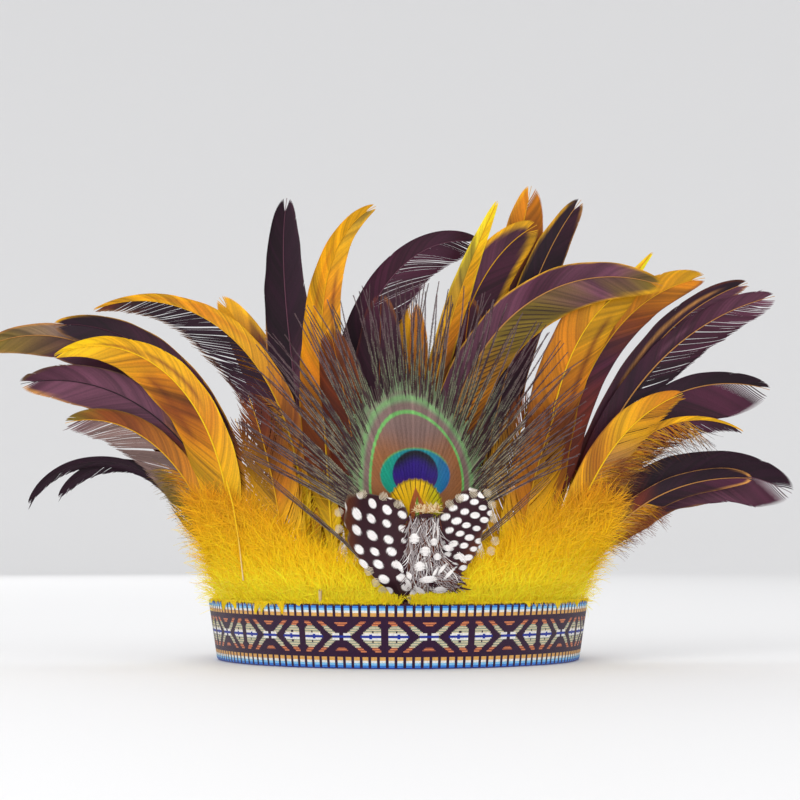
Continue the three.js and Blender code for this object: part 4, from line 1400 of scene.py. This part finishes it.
class Ribbon:
    """Skins of the band with a colour at each thread cell, and the strips that join their edges."""

    def __init__(self):
        self.points = []
        self.faces = []
        self.colours = []
        self.threads = []
        self.count = 0

    def skin(self, turns, arc, rows, inset, outward, shade):
        """A skin inset from the band's outside by inset(height share, turn); gives its point numbers."""
        height = np.linspace(0, 1, rows + 1)[:, None]
        depth = inset(height, turns[None, :])
        z = height * BAND_HEIGHT + 0 * depth
        x = (half_width(z) - depth) * np.sin(turns)[None, :]
        y = -(half_depth(z) - depth) * np.cos(turns)[None, :]
        number = np.arange(z.size).reshape(z.shape) + self.count
        quads = np.stack([number[:-1, :-1], number[:-1, 1:], number[1:, 1:], number[1:, :-1]], axis=-1)
        s = np.repeat(((arc[:-1] + arc[1:]) / 2)[None, :], rows, axis=0)
        v = np.repeat((height[:-1] + height[1:]) / 2, len(arc) - 1, axis=1)
        i, j = np.meshgrid(np.arange(len(turns) - 1), np.arange(rows))
        threads = np.stack([i, j, i + 1, j, i + 1, j + 1, i, j + 1], axis=-1).reshape(-1, 4, 2)
        quads = quads.reshape(-1, 4)
        self.points.append(points_of(x, y, z).reshape(-1, 3))
        self.faces.append(quads if outward else quads[:, ::-1])
        self.colours.append(shade(s, v).reshape(-1, 3))
        self.threads.append(threads if outward else threads[:, ::-1])
        self.count += z.size
        return number

    def bridge(self, a, b, tint):
        quads = np.stack([a[:-1], a[1:], b[1:], b[:-1]], axis=-1)
        self.faces.append(quads)
        self.colours.append(np.repeat(BAND_COLOUR[tint][None], len(quads), axis=0))
        self.threads.append(np.zeros((len(quads), 4, 2)))

    def build(self):
        colours = np.repeat(np.concatenate(self.colours), 4, axis=0)
        threads = np.concatenate(self.threads).astype(float)
        looks = (colours, "CORNER", band_material(), "woven_ribbon", "woven_band", threads)
        build_piece("ribbon_band", self.points, self.faces, *looks)


def band():
    fine = np.linspace(-np.pi, np.pi, 2001)
    middle = BAND_HEIGHT / 2
    mx = half_width(middle) * np.sin(fine)
    my = -half_depth(middle) * np.cos(fine)
    arc = np.concatenate([[0], np.cumsum(np.hypot(np.diff(mx), np.diff(my)))])
    arc -= arc[len(arc) // 2]
    half = int(arc[-1] / THREAD)
    s = np.arange(-half, half + 1) * THREAD
    s[0] = arc[0]
    s[-1] = arc[-1]
    turns = np.interp(s, arc, fine)

    def edge(height):
        return 1 - np.sin(np.clip(np.minimum(height, 1 - height) / 0.03, 0, 1) * np.pi / 2)

    def ripple(turn):
        wave = 0.11 * np.sin(turn * 4.0) + 0.06 * np.sin(turn * 10.1 + 1)
        return wave * smooth(np.abs(turn), 0, 0.2)

    def front(cells, heights):
        tone = rng.uniform(0.86, 1.08, cells.shape)
        return band_colours(cells, heights) * tone[..., None]

    def reverse(cells, heights):
        floats = 0.25 * (rng.random(cells.shape) > 0.6)
        tone = rng.uniform(0.8, 1.1, cells.shape)
        ground = BAND_COLOUR["aubergine"] * 1.1
        return blend(ground, band_colours(cells, heights), floats) * tone[..., None]

    ribbon = Ribbon()

    def outer_inset(height, turn):
        return 0.5 * edge(height) + ripple(turn)

    def inner_inset(height, turn):
        return BAND_WALL - 0.5 * edge(height) + ripple(turn)

    def lap_inset(height, turn):
        return 0.4 * edge(height) + 0.35 - BAND_WALL + 0 * turn

    def under_inset(height, turn):
        return 0.2 + 0 * height + 0 * turn

    outside = ribbon.skin(turns, s, BAND_ROWS, outer_inset, True, front)
    inside = ribbon.skin(turns, s, BAND_ROWS // 2, inner_inset, False, reverse)
    ribbon.bridge(inside[0], outside[0], "cobalt")
    ribbon.bridge(outside[-1], inside[-1], "aubergine")
    # The lap, where one end of the ribbon lies over the other behind
    lap_turn = LAP_LENGTH / (2 * BAND_HALF_WIDTH)
    lap_turns = np.linspace(np.pi - lap_turn, np.pi + lap_turn, 25)
    lap_arc = np.linspace(0, LAP_LENGTH, 25)
    lap = ribbon.skin(lap_turns, lap_arc, BAND_ROWS, lap_inset, True, front)
    under = ribbon.skin(lap_turns, lap_arc, BAND_ROWS, under_inset, False, front)
    ribbon.bridge(lap[:, 0][::-1], under[:, 0][::-1], "aubergine")
    ribbon.bridge(lap[:, -1], under[:, -1], "aubergine")
    ribbon.bridge(under[0], lap[0], "cobalt")
    ribbon.bridge(lap[-1], under[-1], "aubergine")
    ribbon.build()


band()


# Floor, light and camera


def backdrop():
    rings = 60
    sides = 96
    r = np.linspace(0.0, 1.0, rings)
    radius = 0.02 + 4.6 * r
    rise = 1.9 * smooth(radius, 2.4, 4.6) ** 1.2
    turn = np.linspace(0, 2 * np.pi, sides, endpoint=False)
    points = [(0.0, 0.0, -0.0002)]
    for ring in range(rings):
        for angle in turn:
            points.append((radius[ring] * np.cos(angle), radius[ring] * np.sin(angle), rise[ring] - 0.0002))
    faces = [(0, 1 + i, 1 + (i + 1) % sides) for i in range(sides)]
    for ring in range(rings - 1):
        for i in range(sides):
            a = 1 + ring * sides + i
            b = 1 + ring * sides + (i + 1) % sides
            faces.append((a, a + sides, b + sides, b))
    mesh = bpy.data.meshes.new("studio_floor")
    mesh.from_pydata(points, [], faces)
    for polygon in mesh.polygons:
        polygon.use_smooth = True
    material = bpy.data.materials.new("studio_floor")
    material.use_nodes = True
    shader = material.node_tree.nodes["Principled BSDF"]
    shader.inputs["Base Color"].default_value = (0.84, 0.84, 0.85, 1)
    shader.inputs["Roughness"].default_value = 0.7
    mesh.materials.append(material)
    floor = bpy.data.objects.new("studio_floor", mesh)
    bpy.context.scene.collection.objects.link(floor)


def light(name, place, aim, power, size):
    data = bpy.data.lights.new(name, "AREA")
    data.energy = power
    data.size = size
    lamp = bpy.data.objects.new(name, data)
    bpy.context.scene.collection.objects.link(lamp)
    lamp.location = place
    lamp.rotation_euler = (Vector(aim) - Vector(place)).to_track_quat("-Z", "Y").to_euler()


LIT_SPOT = (0, 0, 0.1)
backdrop()
light("key", (-0.9, -1.9, 1.1), LIT_SPOT, 16, 1.2)
light("fill", (1.3, -1.6, 0.8), LIT_SPOT, 6, 1.4)
light("top", (0.2, 0.4, 1.9), LIT_SPOT, 5, 1.5)
light("back", (-0.6, 1.9, 0.9), LIT_SPOT, 5, 1.4)
world = bpy.data.worlds.new("studio")
world.use_nodes = True
world.node_tree.nodes["Background"].inputs["Color"].default_value = (1, 1, 1, 1)
world.node_tree.nodes["Background"].inputs["Strength"].default_value = 0.8
bpy.context.scene.world = world
bpy.context.scene.view_settings.view_transform = "Standard"

lens = bpy.data.cameras.new("camera")
lens.lens = 119.3
lens.sensor_width = 36
camera = bpy.data.objects.new("camera", lens)
bpy.context.scene.collection.objects.link(camera)
camera.location = (-0.04223, -1.20945, 0.05788)
camera.rotation_euler = (Vector((0.0009, 0, 0.1175)) - camera.location).to_track_quat("-Z", "Y").to_euler()
bpy.context.scene.camera = camera
